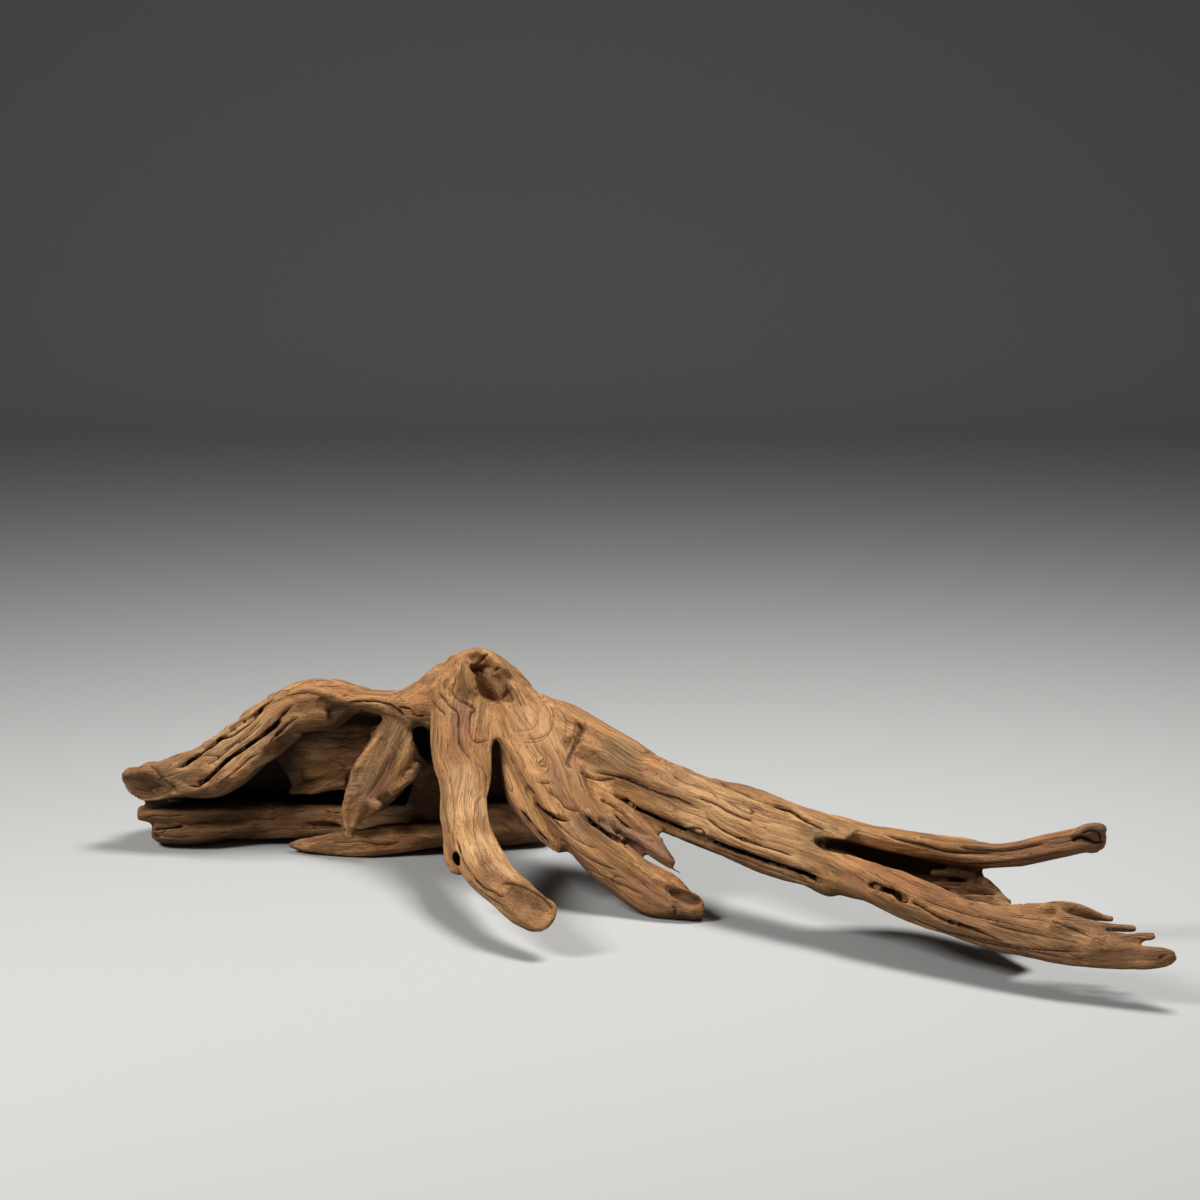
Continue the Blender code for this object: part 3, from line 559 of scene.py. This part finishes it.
# small growths that are joined on before the wood is worn: pixel, depth in the drawing, radius
growths = {
    "legTwoFinger": [(580, 810, -4, 3.0), (600, 817, -11, 3.6), (620, 829, -8, 3.9),
        (638, 839, -12, 3.7), (652, 848, -16, 3.2), (664, 857, -19, 2.4), (674, 863, -20, 1.1)],
    "fingerShell": [(600, 798, 4, 2.6), (618, 808, 2, 2.6), (636, 822, -4, 2.6),
        (650, 834, -7, 2.2), (663, 840, -8, 1.4)],
    "splinter": [(646, 852, -14, 1.5), (664, 864, -19, 1.3), (681, 873, -22, 0.8)],
    "prongFingerOne": [(1036, 911, -173, 3.2), (1056, 907, -175, 4.0), (1075, 908, -177, 3.6),
        (1092, 913, -180, 3.0), (1104, 918, -182, 2.2), (1112, 921, -183, 1.1)],
    "prongFingerTwo": [(1056, 914, -182, 3.2), (1080, 921, -187, 3.3), (1104, 926, -191, 3.0),
        (1122, 928, -194, 2.3), (1137, 929, -195, 1.2)],
    "prongFingerThree": [(1050, 922, -188, 3.4), (1080, 930, -194, 3.5), (1108, 935, -199, 3.3),
        (1132, 938, -204, 2.7), (1146, 939, -208, 1.9), (1157, 937, -209, 1.0)],
    "prongKnob": [(1070, 836, -103, 4.0), (1086, 831, -105, 5.2), (1099, 829, -105, 4.6),
        (1105, 831, -104, 3.2)],
    "prongKnobLow": [(1076, 847, -104, 3.4), (1090, 849, -106, 3.8), (1100, 849, -106, 2.8)],
    "webTop": [(930, 873, -92, 3.0), (955, 874, -94, 3.6), (976, 876, -97, 3.2)],
    "webMiddle": [(925, 884, -99, 3.0), (960, 887, -102, 3.7), (982, 888, -104, 3.5),
        (996, 889, -106, 2.4)],
    "webLow": [(945, 897, -106, 3.0), (975, 899, -109, 3.7), (998, 901, -111, 3.4),
        (1011, 903, -112, 2.4)],
    "tongueLeft": [(374, 744, 122, 4.0), (361, 766, 114, 4.5), (352, 788, 107, 4.2),
        (347, 808, 105, 3.5), (350, 827, 106, 2.2)],
    "tongueMiddle": [(394, 748, 108, 4.5), (379, 768, 106, 5.0), (367, 790, 105, 4.4),
        (359, 810, 104, 3.2), (353, 828, 105, 2.0)],
    "tongueRight": [(412, 744, 106, 4.5), (404, 762, 105, 5.0), (391, 780, 105, 4.6),
        (378, 793, 104, 3.8), (369, 803, 103, 2.6)],
    "tongueFillOne": [(386, 742, 114, 8.0), (371, 766, 111, 8.0), (359, 792, 108, 6.5),
        (353, 812, 107, 4.0)],
    "tongueFillTwo": [(402, 748, 113, 8.0), (390, 768, 111, 8.0), (377, 788, 109, 6.5),
        (364, 803, 107, 4.0)],
    "tongueEdge": [(418, 762, 108, 5.0), (412, 773, 106, 5.0), (402, 783, 104, 4.4),
        (390, 793, 103, 3.2)],
    "tongueRoot": [(432, 764, 120, 8.0), (424, 772, 118, 9.0), (414, 784, 116, 7.0)],
    "tongueNub": [(366, 799, 104, 3.0), (373, 803, 99, 3.8), (381, 807, 96, 3.2)],
    "hollowWebTop": [(408, 731, 114, 7.0), (392, 731, 128, 9.0), (378, 734, 144, 8.0)],
    "hollowWebMiddle": [(402, 744, 114, 7.0), (386, 746, 126, 9.0), (371, 750, 142, 8.0)],
    "hollowWebLow": [(398, 757, 114, 6.0), (384, 761, 124, 8.0), (372, 767, 138, 7.0)],
    "wallEdge": [(290, 792, 153, 3.0), (300, 788, 150, 5.0), (314, 787, 149, 6.0),
        (330, 783, 149, 6.0), (347, 782, 149, 6.0)],
    "wallSide": [(303, 742, 153, 8.0), (296, 756, 154, 9.0), (295, 772, 153, 8.0),
        (298, 784, 152, 5.0)],
    "wallBacking": [(298, 793, 200, 5.0), (314, 793, 202, 5.5), (330, 793, 202, 5.5),
        (344, 793, 201, 4.0)],
    "armEdgeOne": [(300, 733, 122, 3.0), (284, 746, 123, 4.2), (270, 757, 119, 3.6),
        (258, 765, 117, 2.2)],
    "armEdgeTwo": [(262, 761, 118, 2.6), (248, 770, 117, 3.8), (236, 779, 120, 4.2),
        (226, 790, 123, 2.6)],
    "knobUnderRim": [(306, 714, 118, 4.0), (317, 714, 114, 5.2), (327, 716, 116, 3.6)],
    "knotFloor": [(484, 676, 98, 7.5), (495, 685, 96, 8.5), (505, 694, 93, 7.5)],
    "blockUnder": [(205, 833, 152, 5.0), (240, 832, 152, 6.0), (275, 831, 151, 6.0),
        (310, 831, 149, 5.5), (342, 831, 147, 4.5)],
    "legTwoStub": [(672, 906, -38, 5.0), (686, 902, -37, 5.0), (697, 899, -36, 4.2)],
    "legTwoSliver": [(654, 878, -38, 3.0), (668, 884, -38, 3.4), (682, 890, -37, 2.6),
        (690, 894, -36, 1.5)],
}


def growthPoint(px, py, deep):
    way = sightLine(px, py)
    return eyeSpot + way * ((deep + float(drawnShift[1]) - eyeSpot.y) / way.y)


# a round tapering twig through the rows, closed at both ends
def twig(bm, rows):
    rows = smoothRows([(*growthPoint(px, py, deep), radius) for px, py, deep, radius in rows], 4)
    along = unit(np.gradient(rows[:, :3], axis=0))
    sides = wood["twigSides"]
    rings = []
    for place, row in enumerate(rows):
        side = Vector(along[place]).cross(Vector((0.0, 0.0, 1.0))).normalized()
        top = side.cross(Vector(along[place]))
        ring = []
        for turn in range(sides):
            angle = 2 * math.pi * turn / sides
            way = math.cos(angle) * side + math.sin(angle) * top
            ring.append(bm.verts.new(Vector(row[:3]) + float(row[3]) * way))
        rings.append(ring)
    for first, second in zip(rings, rings[1:]):
        for turn in range(sides):
            after = (turn + 1) % sides
            bm.faces.new((first[turn], first[after], second[after], second[turn]))
    bm.faces.new(list(reversed(rings[0])))
    bm.faces.new(rings[-1])


def reworked(mesh, work):
    bm = bmesh.new()
    bm.from_mesh(mesh)
    found = work(bm)
    bm.to_mesh(mesh)
    bm.free()
    return found


def addGrowths(bm):
    for rows in growths.values():
        twig(bm, rows)


def joinCorners(bm):
    bmesh.ops.remove_doubles(bm, verts=bm.verts, dist=0.001)


def cadMesh():
    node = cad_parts["driftwood"]
    mesh = node.data.copy()
    mesh.transform(Matrix.Scale(1000, 4) @ node.matrix_world)  # millimetres while it is worked
    reworked(mesh, joinCorners)
    return mesh


def weigh(made, name, share, least=0.0):
    group = made.vertex_groups.new(name=name)
    for level in range(9):
        chosen = np.flatnonzero(np.round(share * 8) == level)
        if len(chosen):
            group.add(chosen.tolist(), max(level / 8, least), "REPLACE")


def facingEye(points, normals):
    return (normals * unit(eyePlace - points)).sum(1)


def eased(made, name, times, group=""):
    easing = made.modifiers.new(name, "SMOOTH")
    easing.factor = 0.5
    easing.iterations = times
    easing.vertex_group = group


def grownSkin(mesh):
    skin = madeObject("driftwoodSkin", mesh.copy())
    reworked(skin.data, addGrowths)
    remesh = skin.modifiers.new("one skin", "REMESH")
    remesh.mode = "VOXEL"
    remesh.voxel_size = wood["voxel"]
    eased(skin, "worn round", wood["easing"])
    skin = applied(skin)
    points, normals = arrays(skin.data)
    weigh(skin, "back", easedStep(0.0, wood["backFrom"], -facingEye(points, normals)))
    eased(skin, "back worn rounder", wood["backEasing"], "back")
    return applied(skin)


# hollows that the light reaches, where the painted shade is lightened: the pixel in the photograph
# and the reach in millimetres
brightHollows = [
    (490, 684, 16), (500, 692, 12), (506, 696, 12), (345, 752, 24), (330, 775, 18), (368, 745, 16),
    (392, 745, 14), (372, 775, 18), (355, 810, 14), (320, 813, 15), (280, 818, 14), (400, 765, 12),
    (574, 745, 9), (340, 848, 18),
]

shade = {
    "rays": 48, "spin": 2.39996, "lowest": 1.15,  # the rays go a little below level
    "flatLight": 0.25, "skyLight": 0.75,
    "lift": 1.2, "reach": 140.0,  # millimetres off the wood
    "neighbours": 10, "softness": 1.5,
    "hollowLight": 0.35,
}


# how much of the light from above and from the sides is kept off each point of the imported solid,
# which sets how much painted shade the wood's colour gets
def shadeField(mesh):
    points, normals = arrays(mesh)
    tree = bodyTree(points, mesh)
    ways = []
    for turn in range(shade["rays"]):
        up = 1 - shade["lowest"] * (turn + 0.5) / shade["rays"]
        spin = turn * shade["spin"]
        flat = math.sqrt(1 - up * up)
        ways.append(Vector((flat * math.cos(spin), flat * math.sin(spin), up)))
    weights = np.array([shade["flatLight"] + shade["skyLight"] * max(way.z, 0.0) for way in ways])
    seen = np.zeros((len(points), len(ways)))
    for place, (point, normal) in enumerate(zip(points, normals)):
        start = Vector(point) + shade["lift"] * Vector(normal)
        for turn, way in enumerate(ways):
            if way.dot(normal) > 0 and tree.ray_cast(start, way, shade["reach"])[0] is None:
                seen[place, turn] = 1
    return points, normals, 1 - (seen * weights).sum(1) / weights.sum()


# spreads the painted shade from the solid's points onto the worn skin
def spreadPaintedShade(points, normals, known, skin):
    spots, ways, paintedShade = known
    tree = KDTree(len(spots))
    for place, spot in enumerate(spots):
        tree.insert(spot, place)
    tree.balance()
    count = shade["neighbours"]
    found = np.array([[place for _, place, _ in tree.find_n(point, count)] for point in points])
    away = np.linalg.norm(spots[found] - points[:, None], axis=2)
    alike = np.clip((ways[found] * normals[:, None]).sum(2), 0.02, 1)
    weight = alike ** 2 / (shade["softness"] + away) ** 2
    total = (paintedShade[found] * weight).sum(1) / weight.sum(1)
    # lighter painted shade in the hollows that the light reaches
    for px, py, reach in brightHollows:
        hit = seenSpot(skin, px, py)[0]
        if hit is not None:
            far = np.linalg.norm(points - np.array(hit), axis=1)
            total -= shade["hollowLight"] * np.exp(-(far / reach) ** 2)
    return total


def dropScraps(bm):
    unseen = set(bm.verts)
    bodies = []
    while unseen:
        body = [unseen.pop()]
        for vert in body:
            for edge in vert.link_edges:
                other = edge.other_vert(vert)
                if other in unseen:
                    unseen.remove(other)
                    body.append(other)
        bodies.append(body)
    bodies.sort(key=len)
    for scrap in bodies[:-1]:
        bmesh.ops.delete(bm, geom=scrap, context="VERTS")
    return len(bodies) - 1


# the sides that face the ground or away from the front keep fewer triangles
def fewerTriangles(made, hidden):
    weigh(made, "hidden", hidden, wood["leastHidden"])
    collapse = made.modifiers.new("fewer triangles", "DECIMATE")
    collapse.vertex_group = "hidden"
    collapse.vertex_group_factor = wood["hiddenShare"]
    collapse.ratio = wood["triangles"] / (2 * len(made.data.polygons))
    collapse.use_collapse_triangulate = True
    return applied(made)


# one number or three for each point, kept on the mesh for the shader
def giveNumbers(mesh, name, values):
    kind, field = ("FLOAT", "value") if values.ndim == 1 else ("FLOAT_VECTOR", "vector")
    layer = mesh.attributes.new(name, kind, "POINT")
    layer.data.foreach_set(field, np.ascontiguousarray(values, dtype=np.float32).ravel())


# stains on the wood and spots of painted light and shade: the pixel in the photograph, reach in
# millimetres, how strong
stainsAndPaintedLight = {
    "orange": [(470, 735, 10, 0.5), (655, 760, 10, 0.6), (905, 885, 16, 0.7), (950, 908, 16, 0.6),
        (240, 765, 12, 0.6), (210, 795, 12, 0.5), (420, 700, 12, 0.5), (340, 690, 10, 0.5),
        (520, 890, 12, 0.4)],
    "plum": [(497, 684, 13, 0.35), (520, 705, 8, 0.25), (580, 830, 13, 0.5), (615, 828, 13, 0.9),
        (636, 843, 13, 0.9), (655, 856, 13, 0.8), (563, 775, 12, 0.4), (668, 778, 14, 0.35),
        (1085, 920, 16, 0.55), (1110, 930, 14, 0.55), (1095, 832, 12, 0.6), (264, 755, 14, 0.45),
        (280, 735, 14, 0.4), (365, 790, 14, 0.6)],
    "moss": [(622, 750, 16, 0.7), (600, 765, 12, 0.6), (820, 838, 16, 0.6), (850, 830, 14, 0.4),
        (1000, 900, 10, 0.4), (195, 752, 12, 0.35), (372, 768, 10, 0.6)],
    # pale: partly bleached wood and partly painted light, lifting the shaded knot bowl
    "pale": [(395, 740, 16, 0.5), (472, 800, 22, 0.75), (480, 845, 20, 0.75), (545, 720, 22, 0.45),
        (700, 820, 26, 0.6), (497, 686, 14, 0.5), (690, 800, 24, 0.55), (730, 812, 24, 0.6),
        (775, 832, 22, 0.45), (660, 785, 20, 0.35), (235, 738, 26, 0.6), (460, 780, 18, 0.5),
        (505, 870, 16, 0.5)],
    # umber: partly the wood's own dark brown and partly painted shade, darkening the far ends, the
    # undersides and the block where they lie in shade
    "umberAndPaintedShade": [(275, 832, 20, 0.6), (320, 832, 18, 0.5), (940, 900, 20, 0.5), (1020, 918, 22, 0.6),
        (960, 925, 22, 0.7), (1010, 938, 22, 0.85), (1060, 948, 22, 0.85), (1110, 952, 20, 0.85),
        (1160, 956, 13, 0.75), (1075, 915, 18, 0.7), (1110, 928, 18, 0.7), (1140, 937, 14, 0.7),
        (900, 915, 20, 0.6), (860, 900, 20, 0.45), (970, 855, 20, 0.35), (1020, 852, 20, 0.6),
        (1060, 845, 18, 0.6), (1098, 832, 10, 0.8), (975, 890, 22, 0.75), (683, 905, 14, 0.75),
        (655, 897, 13, 0.45), (518, 897, 12, 0.6), (538, 910, 12, 0.6), (165, 782, 13, 0.9),
        (185, 790, 12, 0.8), (205, 775, 18, 0.15), (240, 750, 18, 0.1), (155, 820, 20, 0.85),
        (165, 840, 18, 0.85), (345, 755, 26, 0.35)],
    # soot: painted shadow, near-black where the wood lies in deep shade, under the arm and the rim,
    # in the log's hollow, on the block and at the arm's end
    "paintedShadow": [(525, 905, 14, 0.35), (140, 788, 12, 1.0), (128, 780, 9, 0.9), (156, 793, 9, 1.0),
        (167, 797, 8, 0.8), (333, 710, 9, 1.0), (345, 716, 11, 1.0), (340, 730, 14, 0.9),
        (360, 716, 10, 0.9), (210, 822, 22, 0.8), (245, 815, 24, 0.8), (185, 828, 14, 0.5),
        (1110, 967, 16, 0.45), (343, 722, 14, 0.8), (365, 720, 12, 0.8), (385, 722, 10, 0.6),
        (328, 728, 8, 0.5), (200, 832, 26, 0.6), (240, 828, 26, 0.55), (275, 820, 20, 0.3),
        (262, 775, 26, 0.9), (285, 760, 14, 0.8), (292, 790, 16, 0.7), (235, 800, 26, 0.9),
        (136, 784, 9, 0.95), (148, 790, 9, 0.95), (160, 794, 7, 0.6), (128, 777, 6, 0.6)],
}
# the dark spots hold painted shade (umber, in part) and painted shadow (soot); the light spots hold
# painted light (pale, in part)
darkStainsAndPaintedShade = ["umberAndPaintedShade", "paintedShadow"]
lightStainsAndPaintedLight = [kind for kind in stainsAndPaintedLight if kind not in darkStainsAndPaintedShade]
stainAndShadeEdge = {"fade": (0.35, 1.35), "ragged": [(0.3, 9.0, 47), (0.15, 3.5, 53)]}


def stainAndPaintedLightField(points, skin):
    amounts = {kind: np.zeros(len(points)) for kind in stainsAndPaintedLight}
    inner, outer = stainAndShadeEdge["fade"]
    ragged = 1
    for share, size, seed in stainAndShadeEdge["ragged"]:
        ragged = ragged + share * cloud(points / size, seed)
    for kind, rows in stainsAndPaintedLight.items():
        for px, py, reach, strength in rows:
            hit = seenSpot(skin, px, py)[0]
            if hit is None:
                print("no wood under the stain at", px, py)
                continue
            far = np.linalg.norm(points - np.array(hit), axis=1) * ragged
            amount = strength * (1 - easedStep(inner * reach, outer * reach, far))
            amounts[kind] = np.maximum(amounts[kind], amount)
    return amounts


def wornWood():
    solid = cadMesh()
    known = shadeField(solid)
    report("shelter found")
    skin = grownSkin(solid)
    points, normals = arrays(skin.data)
    report(f"skin of {len(points)} points")
    tree = bodyTree(points, skin.data)
    knotSpots = [(np.array(seenSpot(tree, px, py)[0]), reach) for px, py, reach in knots]
    cut, across, halves, dark = carve(points, tree)
    report("cracks carved")
    worn, lines, patches, amount, places, blend = wornRelief(points, knotSpots)
    report("fibres worn in")
    spared = 1 - wood["sparedCut"] * easedStep(*wood["sparedAt"], cut)
    spared *= 1 - wood["sparedDark"] * np.clip(dark, 0, 1)
    movePoints(skin.data, points - normals * (cut + worn * spared)[:, None])
    facing = facingEye(points, normals)
    under = easedStep(*wood["under"], -normals[:, 2])
    hidden = 0.5 * under + 0.5 * easedStep(*wood["away"], -facing)
    hidden = np.clip(hidden - 0.8 * easedStep(*wood["keptCut"], cut), 0, 1)
    carried = {f"fibres{family}": place for family, place in enumerate(places)}
    carried.update(fibreShare=blend.T, crackAcross=across, crackHalf=halves, wornLines=lines)
    carried.update(crackDark=dark, checkShare=patches, wornAmount=amount)
    for name, values in carried.items():
        giveNumbers(skin.data, name, values)
    made = fewerTriangles(skin, hidden)
    scraps = reworked(made.data, dropScraps)
    report(f"{len(made.data.polygons)} triangles kept, {scraps} scraps dropped")
    points, normals = arrays(made.data)
    marks = stainAndPaintedLightField(points, tree)
    # painted shade, kept on the mesh for the shader
    marks["paintedShade"] = spreadPaintedShade(points, normals, known, tree)
    report("stains and shelter spread")
    low, high = [np.array(corner) * 1000 for corner in cadBox]
    points = np.clip(points, low + wood["inside"], high - wood["inside"])
    points[:, 2] = np.maximum(points[:, 2], 0.0)
    movePoints(made.data, points / 1000)
    for name, values in marks.items():
        giveNumbers(made.data, name, values)
    made.data.shade_smooth()
    return made


# the finish
finish = {
    "tan": (0.48, 0.242, 0.09),
    "brown": (0.235, 0.11, 0.045),
    "light": (0.60, 0.335, 0.14),
    "orange": (0.50, 0.19, 0.07),
    "plum": (0.25, 0.135, 0.095),
    "moss": (0.27, 0.185, 0.085),
    # bleached wood, partly used as painted light
    "pale": (0.66, 0.40, 0.185),
    # dark brown, partly the wood's own tone and partly painted shade
    "umberAndPaintedShade": (0.135, 0.07, 0.032),
    # painted shadow colour for the soot spots
    "paintedShadow": (0.035, 0.018, 0.010),
    # painted shade in hollows and undersides; also the colour of the hairline cracks
    "deep": (0.045, 0.022, 0.011),
    "crack": (0.014, 0.007, 0.004),
    # along the fibres: run and pitch in millimetres, detail, roughness
    "streaks": (34.0, 1.1, 4.0, 0.62),
    "bands": (130.0, 8.0, 3.0, 0.55),
    "pores": (3.2, 0.6, 2.0, 0.5),
    "hairs": (130.0, 2.4, 2.0, 0.5),
    "hairWidth": 0.016,
    # blotches: scale, detail, from, to, strength
    "blotches": {"orange": (16.0, 4.0, 0.5, 0.7, 0.5), "plum": (23.0, 3.0, 0.56, 0.72, 0.4),
                 "moss": (11.0, 5.0, 0.56, 0.72, 0.4)},
    "hairPatches": (30.0, 3.0),
    "twist": 0.2,
    "roughness": (0.90, 0.74), "gloss": 0.22,
    "bump": 1.0, "bumpHeight": 0.0013,
}


def newMaterial(name):
    material = bpy.data.materials.new(name)
    material.use_nodes = True
    return material, material.node_tree, material.node_tree.nodes["Principled BSDF"]


def weatheredWood():
    material, tree, shader = newMaterial("weatheredWood")

    def node(kind, **settings):
        made = tree.nodes.new("ShaderNode" + kind)
        for name, value in settings.items():
            setattr(made, name, value)
        return made

    def feed(socket, value):
        if isinstance(value, bpy.types.NodeSocket):
            tree.links.new(value, socket)
        else:
            socket.default_value = value

    def number(name, kind="Fac"):
        return node("Attribute", attribute_name=name).outputs[kind]

    def three(name):
        parts = node("SeparateXYZ")
        feed(parts.inputs[0], number(name, "Vector"))
        return parts.outputs

    def sums(kind, *values):
        made = node("Math", operation=kind)
        for socket, value in zip(made.inputs, values):
            feed(socket, value)
        return made.outputs[0]

    def times(first, second):
        return sums("MULTIPLY", first, second)

    def span(value, low, high, start=0.0, end=1.0):
        made = node("MapRange", interpolation_type="SMOOTHSTEP")
        ends = {"Value": value, "From Min": low, "From Max": high, "To Min": start, "To Max": end}
        for name, setting in ends.items():
            feed(made.inputs[name], setting)
        return made.outputs[0]

    def mixed(share, first, second):
        made = node("Mix", data_type="RGBA")
        for socket, value in ((0, share), (6, first), (7, second)):
            feed(made.inputs[socket], (*value, 1.0) if isinstance(value, tuple) else value)
        return made.outputs[2]

    def noise(spot, scale, detail, **more):
        made = node("TexNoise")
        for name, value in {"Vector": spot, "Scale": scale, "Detail": detail, **more}.items():
            feed(made.inputs[name], value)
        return made.outputs["Fac"]

    shares = three("fibreShare")

    # one pattern drawn out along the fibres of all three families
    def fibres(run, pitch, detail, roughness):
        total = 0.5
        for family in range(flow["families"]):
            stretch = node("VectorMath", operation="MULTIPLY")
            feed(stretch.inputs[0], number(f"fibres{family}", "Vector"))
            feed(stretch.inputs[1], (1 / run, 1 / pitch, 1 / pitch))
            pattern = noise(stretch.outputs[0], 1.0, detail, Roughness=roughness,
                            Distortion=finish["twist"])
            part = times(sums("SUBTRACT", pattern, 0.5), shares[family])
            total = sums("ADD", part, total)
        return total

    streaks, bands, pores = (fibres(*finish[name]) for name in ("streaks", "bands", "pores"))
    hairs = sums("ABSOLUTE", sums("SUBTRACT", fibres(*finish["hairs"]), 0.5))
    onWood = node("TexCoord").outputs["Object"]

    # the carved lines, crisp however coarse the mesh is
    line = 0.0
    rim = 0.0
    for across, half in zip(three("crackAcross"), three("crackHalf")):
        inside = sums("SUBTRACT", half, sums("ABSOLUTE", across))
        line = sums("MAXIMUM", span(inside, 0.0, 0.35), line)
        near = times(span(inside, -1.5, 0.1), span(half, 0.05, 0.4))
        rim = sums("MAXIMUM", near, rim)
    strength = number("crackDark")
    line = times(line, strength)
    rim = times(rim, strength)
    furrow, groove, check = (sums("ABSOLUTE", value) for value in three("wornLines"))
    amount = number("wornAmount")
    grooveLine = times(span(groove, 0.0, 0.13, 1.0, 0.0), amount)
    furrowLine = times(span(furrow, 0.0, 0.2, 1.0, 0.0), amount)
    width = relief["check"]["width"]
    checkLine = times(span(check, 0.4 * width, width, 1.0, 0.0), number("checkShare"))
    width = finish["hairWidth"]
    hairPatch = span(noise(onWood, *finish["hairPatches"]), 0.36, 0.54)
    hairLine = times(span(hairs, 0.25 * width, width, 1.0, 0.0), hairPatch)
    ridge = times(span(furrow, 0.3, 0.8), span(groove, 0.15, 0.5))

    # the colours, one layer on another: how much, and which
    layers = [(span(bands, 0.36, 0.62), "tan"), (span(bands, 0.56, 0.76, 0.0, 0.75), "light")]
    for name, (scale, detail, low, high, most) in finish["blotches"].items():
        layers.append((span(noise(onWood, scale, detail), low, high, 0.0, most), name))
    layers.append((times(ridge, 0.3), "light"))
    # the light stains, with the pale spots that are partly painted light
    layers += [(times(number(kind), span(bands, 0.3, 0.6, 0.6, 1.0)), kind)
               for kind in lightStainsAndPaintedLight]
    layers += [
        (span(streaks, 0.34, 0.5, 0.7, 0.0), "brown"),
        (span(streaks, 0.52, 0.7, 0.0, 0.3), "light"),
        (span(pores, 0.6, 0.68, 0.0, 0.65), "brown"),
    ]
    # the dark stains, with the spots of painted shade and painted shadow
    layers += [(times(number(kind), span(streaks, 0.3, 0.65, 0.9, 0.55)), kind)
               for kind in darkStainsAndPaintedShade]
    layers += [
        (times(furrowLine, 0.35), "brown"),
        (times(grooveLine, 0.5), "brown"),
        # painted shade: darker where less light from above and the sides reaches
        (span(number("paintedShade"), 0.57, 0.95, 0.0, 0.93), "deep"),
        (times(hairLine, 0.6), "deep"),
        (times(rim, 0.5), "brown"),
        (checkLine, "crack"),
        (line, "crack"),
    ]
    colour = finish["brown"]
    for share, name in layers:
        colour = mixed(share, colour, finish[name])
    feed(shader.inputs["Base Color"], colour)

    feed(shader.inputs["Specular IOR Level"], finish["gloss"])
    feed(shader.inputs["Roughness"], span(streaks, 0.3, 0.7, *finish["roughness"]))
    height = sums("ADD", times(streaks, 0.8), times(pores, 0.35))
    for mark, deep in ((hairLine, 0.5), (grooveLine, 0.35), (checkLine, 1.0), (line, 1.2)):
        height = sums("SUBTRACT", height, times(mark, deep))
    bump = node("Bump")
    feed(bump.inputs["Strength"], finish["bump"])
    feed(bump.inputs["Distance"], finish["bumpHeight"])
    feed(bump.inputs["Height"], height)
    feed(shader.inputs["Normal"], bump.outputs["Normal"])
    return material


driftwood = wornWood()
driftwood.name = "driftwoodPiece"
driftwood.data.materials.clear()
driftwood.data.materials.append(weatheredWood())
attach(driftwood, "root")
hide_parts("driftwood")
report("wood finished")


# floor, light and camera
studio = {
    "floor": {"Base Color": (0.44, 0.44, 0.43, 1.0), "Roughness": 0.9, "Specular IOR Level": 0.1},
    "floorSize": 14.0,
    "backAt": 3.2, "backBend": 1.4, "backSteps": 16, "backHeight": 5.0,
    "lamps": [((-1.15, -0.60, 1.20), 23.0), ((0.42, 0.02, 1.50), 27.0)],  # place and power
    "lampSize": 0.5,
    "aim": (0.0, 0.0, 0.05),
    "skyColour": (1.0, 0.98, 0.96, 1.0),
    "sky": 0.07,
}


# a pale floor that bends up far behind the wood
def paleFloor():
    half = studio["floorSize"] / 2
    bend = studio["backBend"]
    profile = [(-half, 0.0), (studio["backAt"], 0.0)]
    for step in range(1, studio["backSteps"] + 1):
        angle = math.pi / 2 * step / studio["backSteps"]
        profile.append((studio["backAt"] + bend * math.sin(angle), bend * (1 - math.cos(angle))))
    profile.append((studio["backAt"] + bend, studio["backHeight"]))
    corners = [(side * half, y, z) for y, z in profile for side in (-1, 1)]
    faces = [(2 * row, 2 * row + 1, 2 * row + 3, 2 * row + 2) for row in range(len(profile) - 1)]
    mesh = bpy.data.meshes.new("paleFloor")
    mesh.from_pydata(corners, [], faces)
    mesh.shade_smooth()
    floor = madeObject("paleFloor", mesh)
    material, tree, shader = newMaterial("paleFloor")
    for name, value in studio["floor"].items():
        shader.inputs[name].default_value = value
    mesh.materials.append(material)


def lamps():
    for number, (place, power) in enumerate(studio["lamps"]):
        light = bpy.data.lights.new(f"softLamp{number}", "AREA")
        light.size = studio["lampSize"]
        light.energy = power
        made = madeObject(f"softLamp{number}", light)
        made.location = place
        aim = Vector(studio["aim"]) - Vector(place)
        made.rotation_euler = aim.to_track_quat("-Z", "Y").to_euler()
    world = bpy.data.worlds.new("studio")
    world.use_nodes = True
    sky = world.node_tree.nodes["Background"]
    sky.inputs["Color"].default_value = studio["skyColour"]
    sky.inputs["Strength"].default_value = studio["sky"]
    bpy.context.scene.world = world
    bpy.context.scene.view_settings.view_transform = "Standard"


def camera():
    lens = bpy.data.cameras.new("photoView")
    lens.lens = view["lens"]
    lens.sensor_width = view["sensor"]
    lens.clip_start = view["nearest"]
    made = madeObject("photoView", lens)
    made.location = view["eye"]
    made.rotation_euler = (math.radians(view["tilt"]), 0.0, 0.0)
    bpy.context.scene.camera = made


paleFloor()
lamps()
camera()
report("studio set")
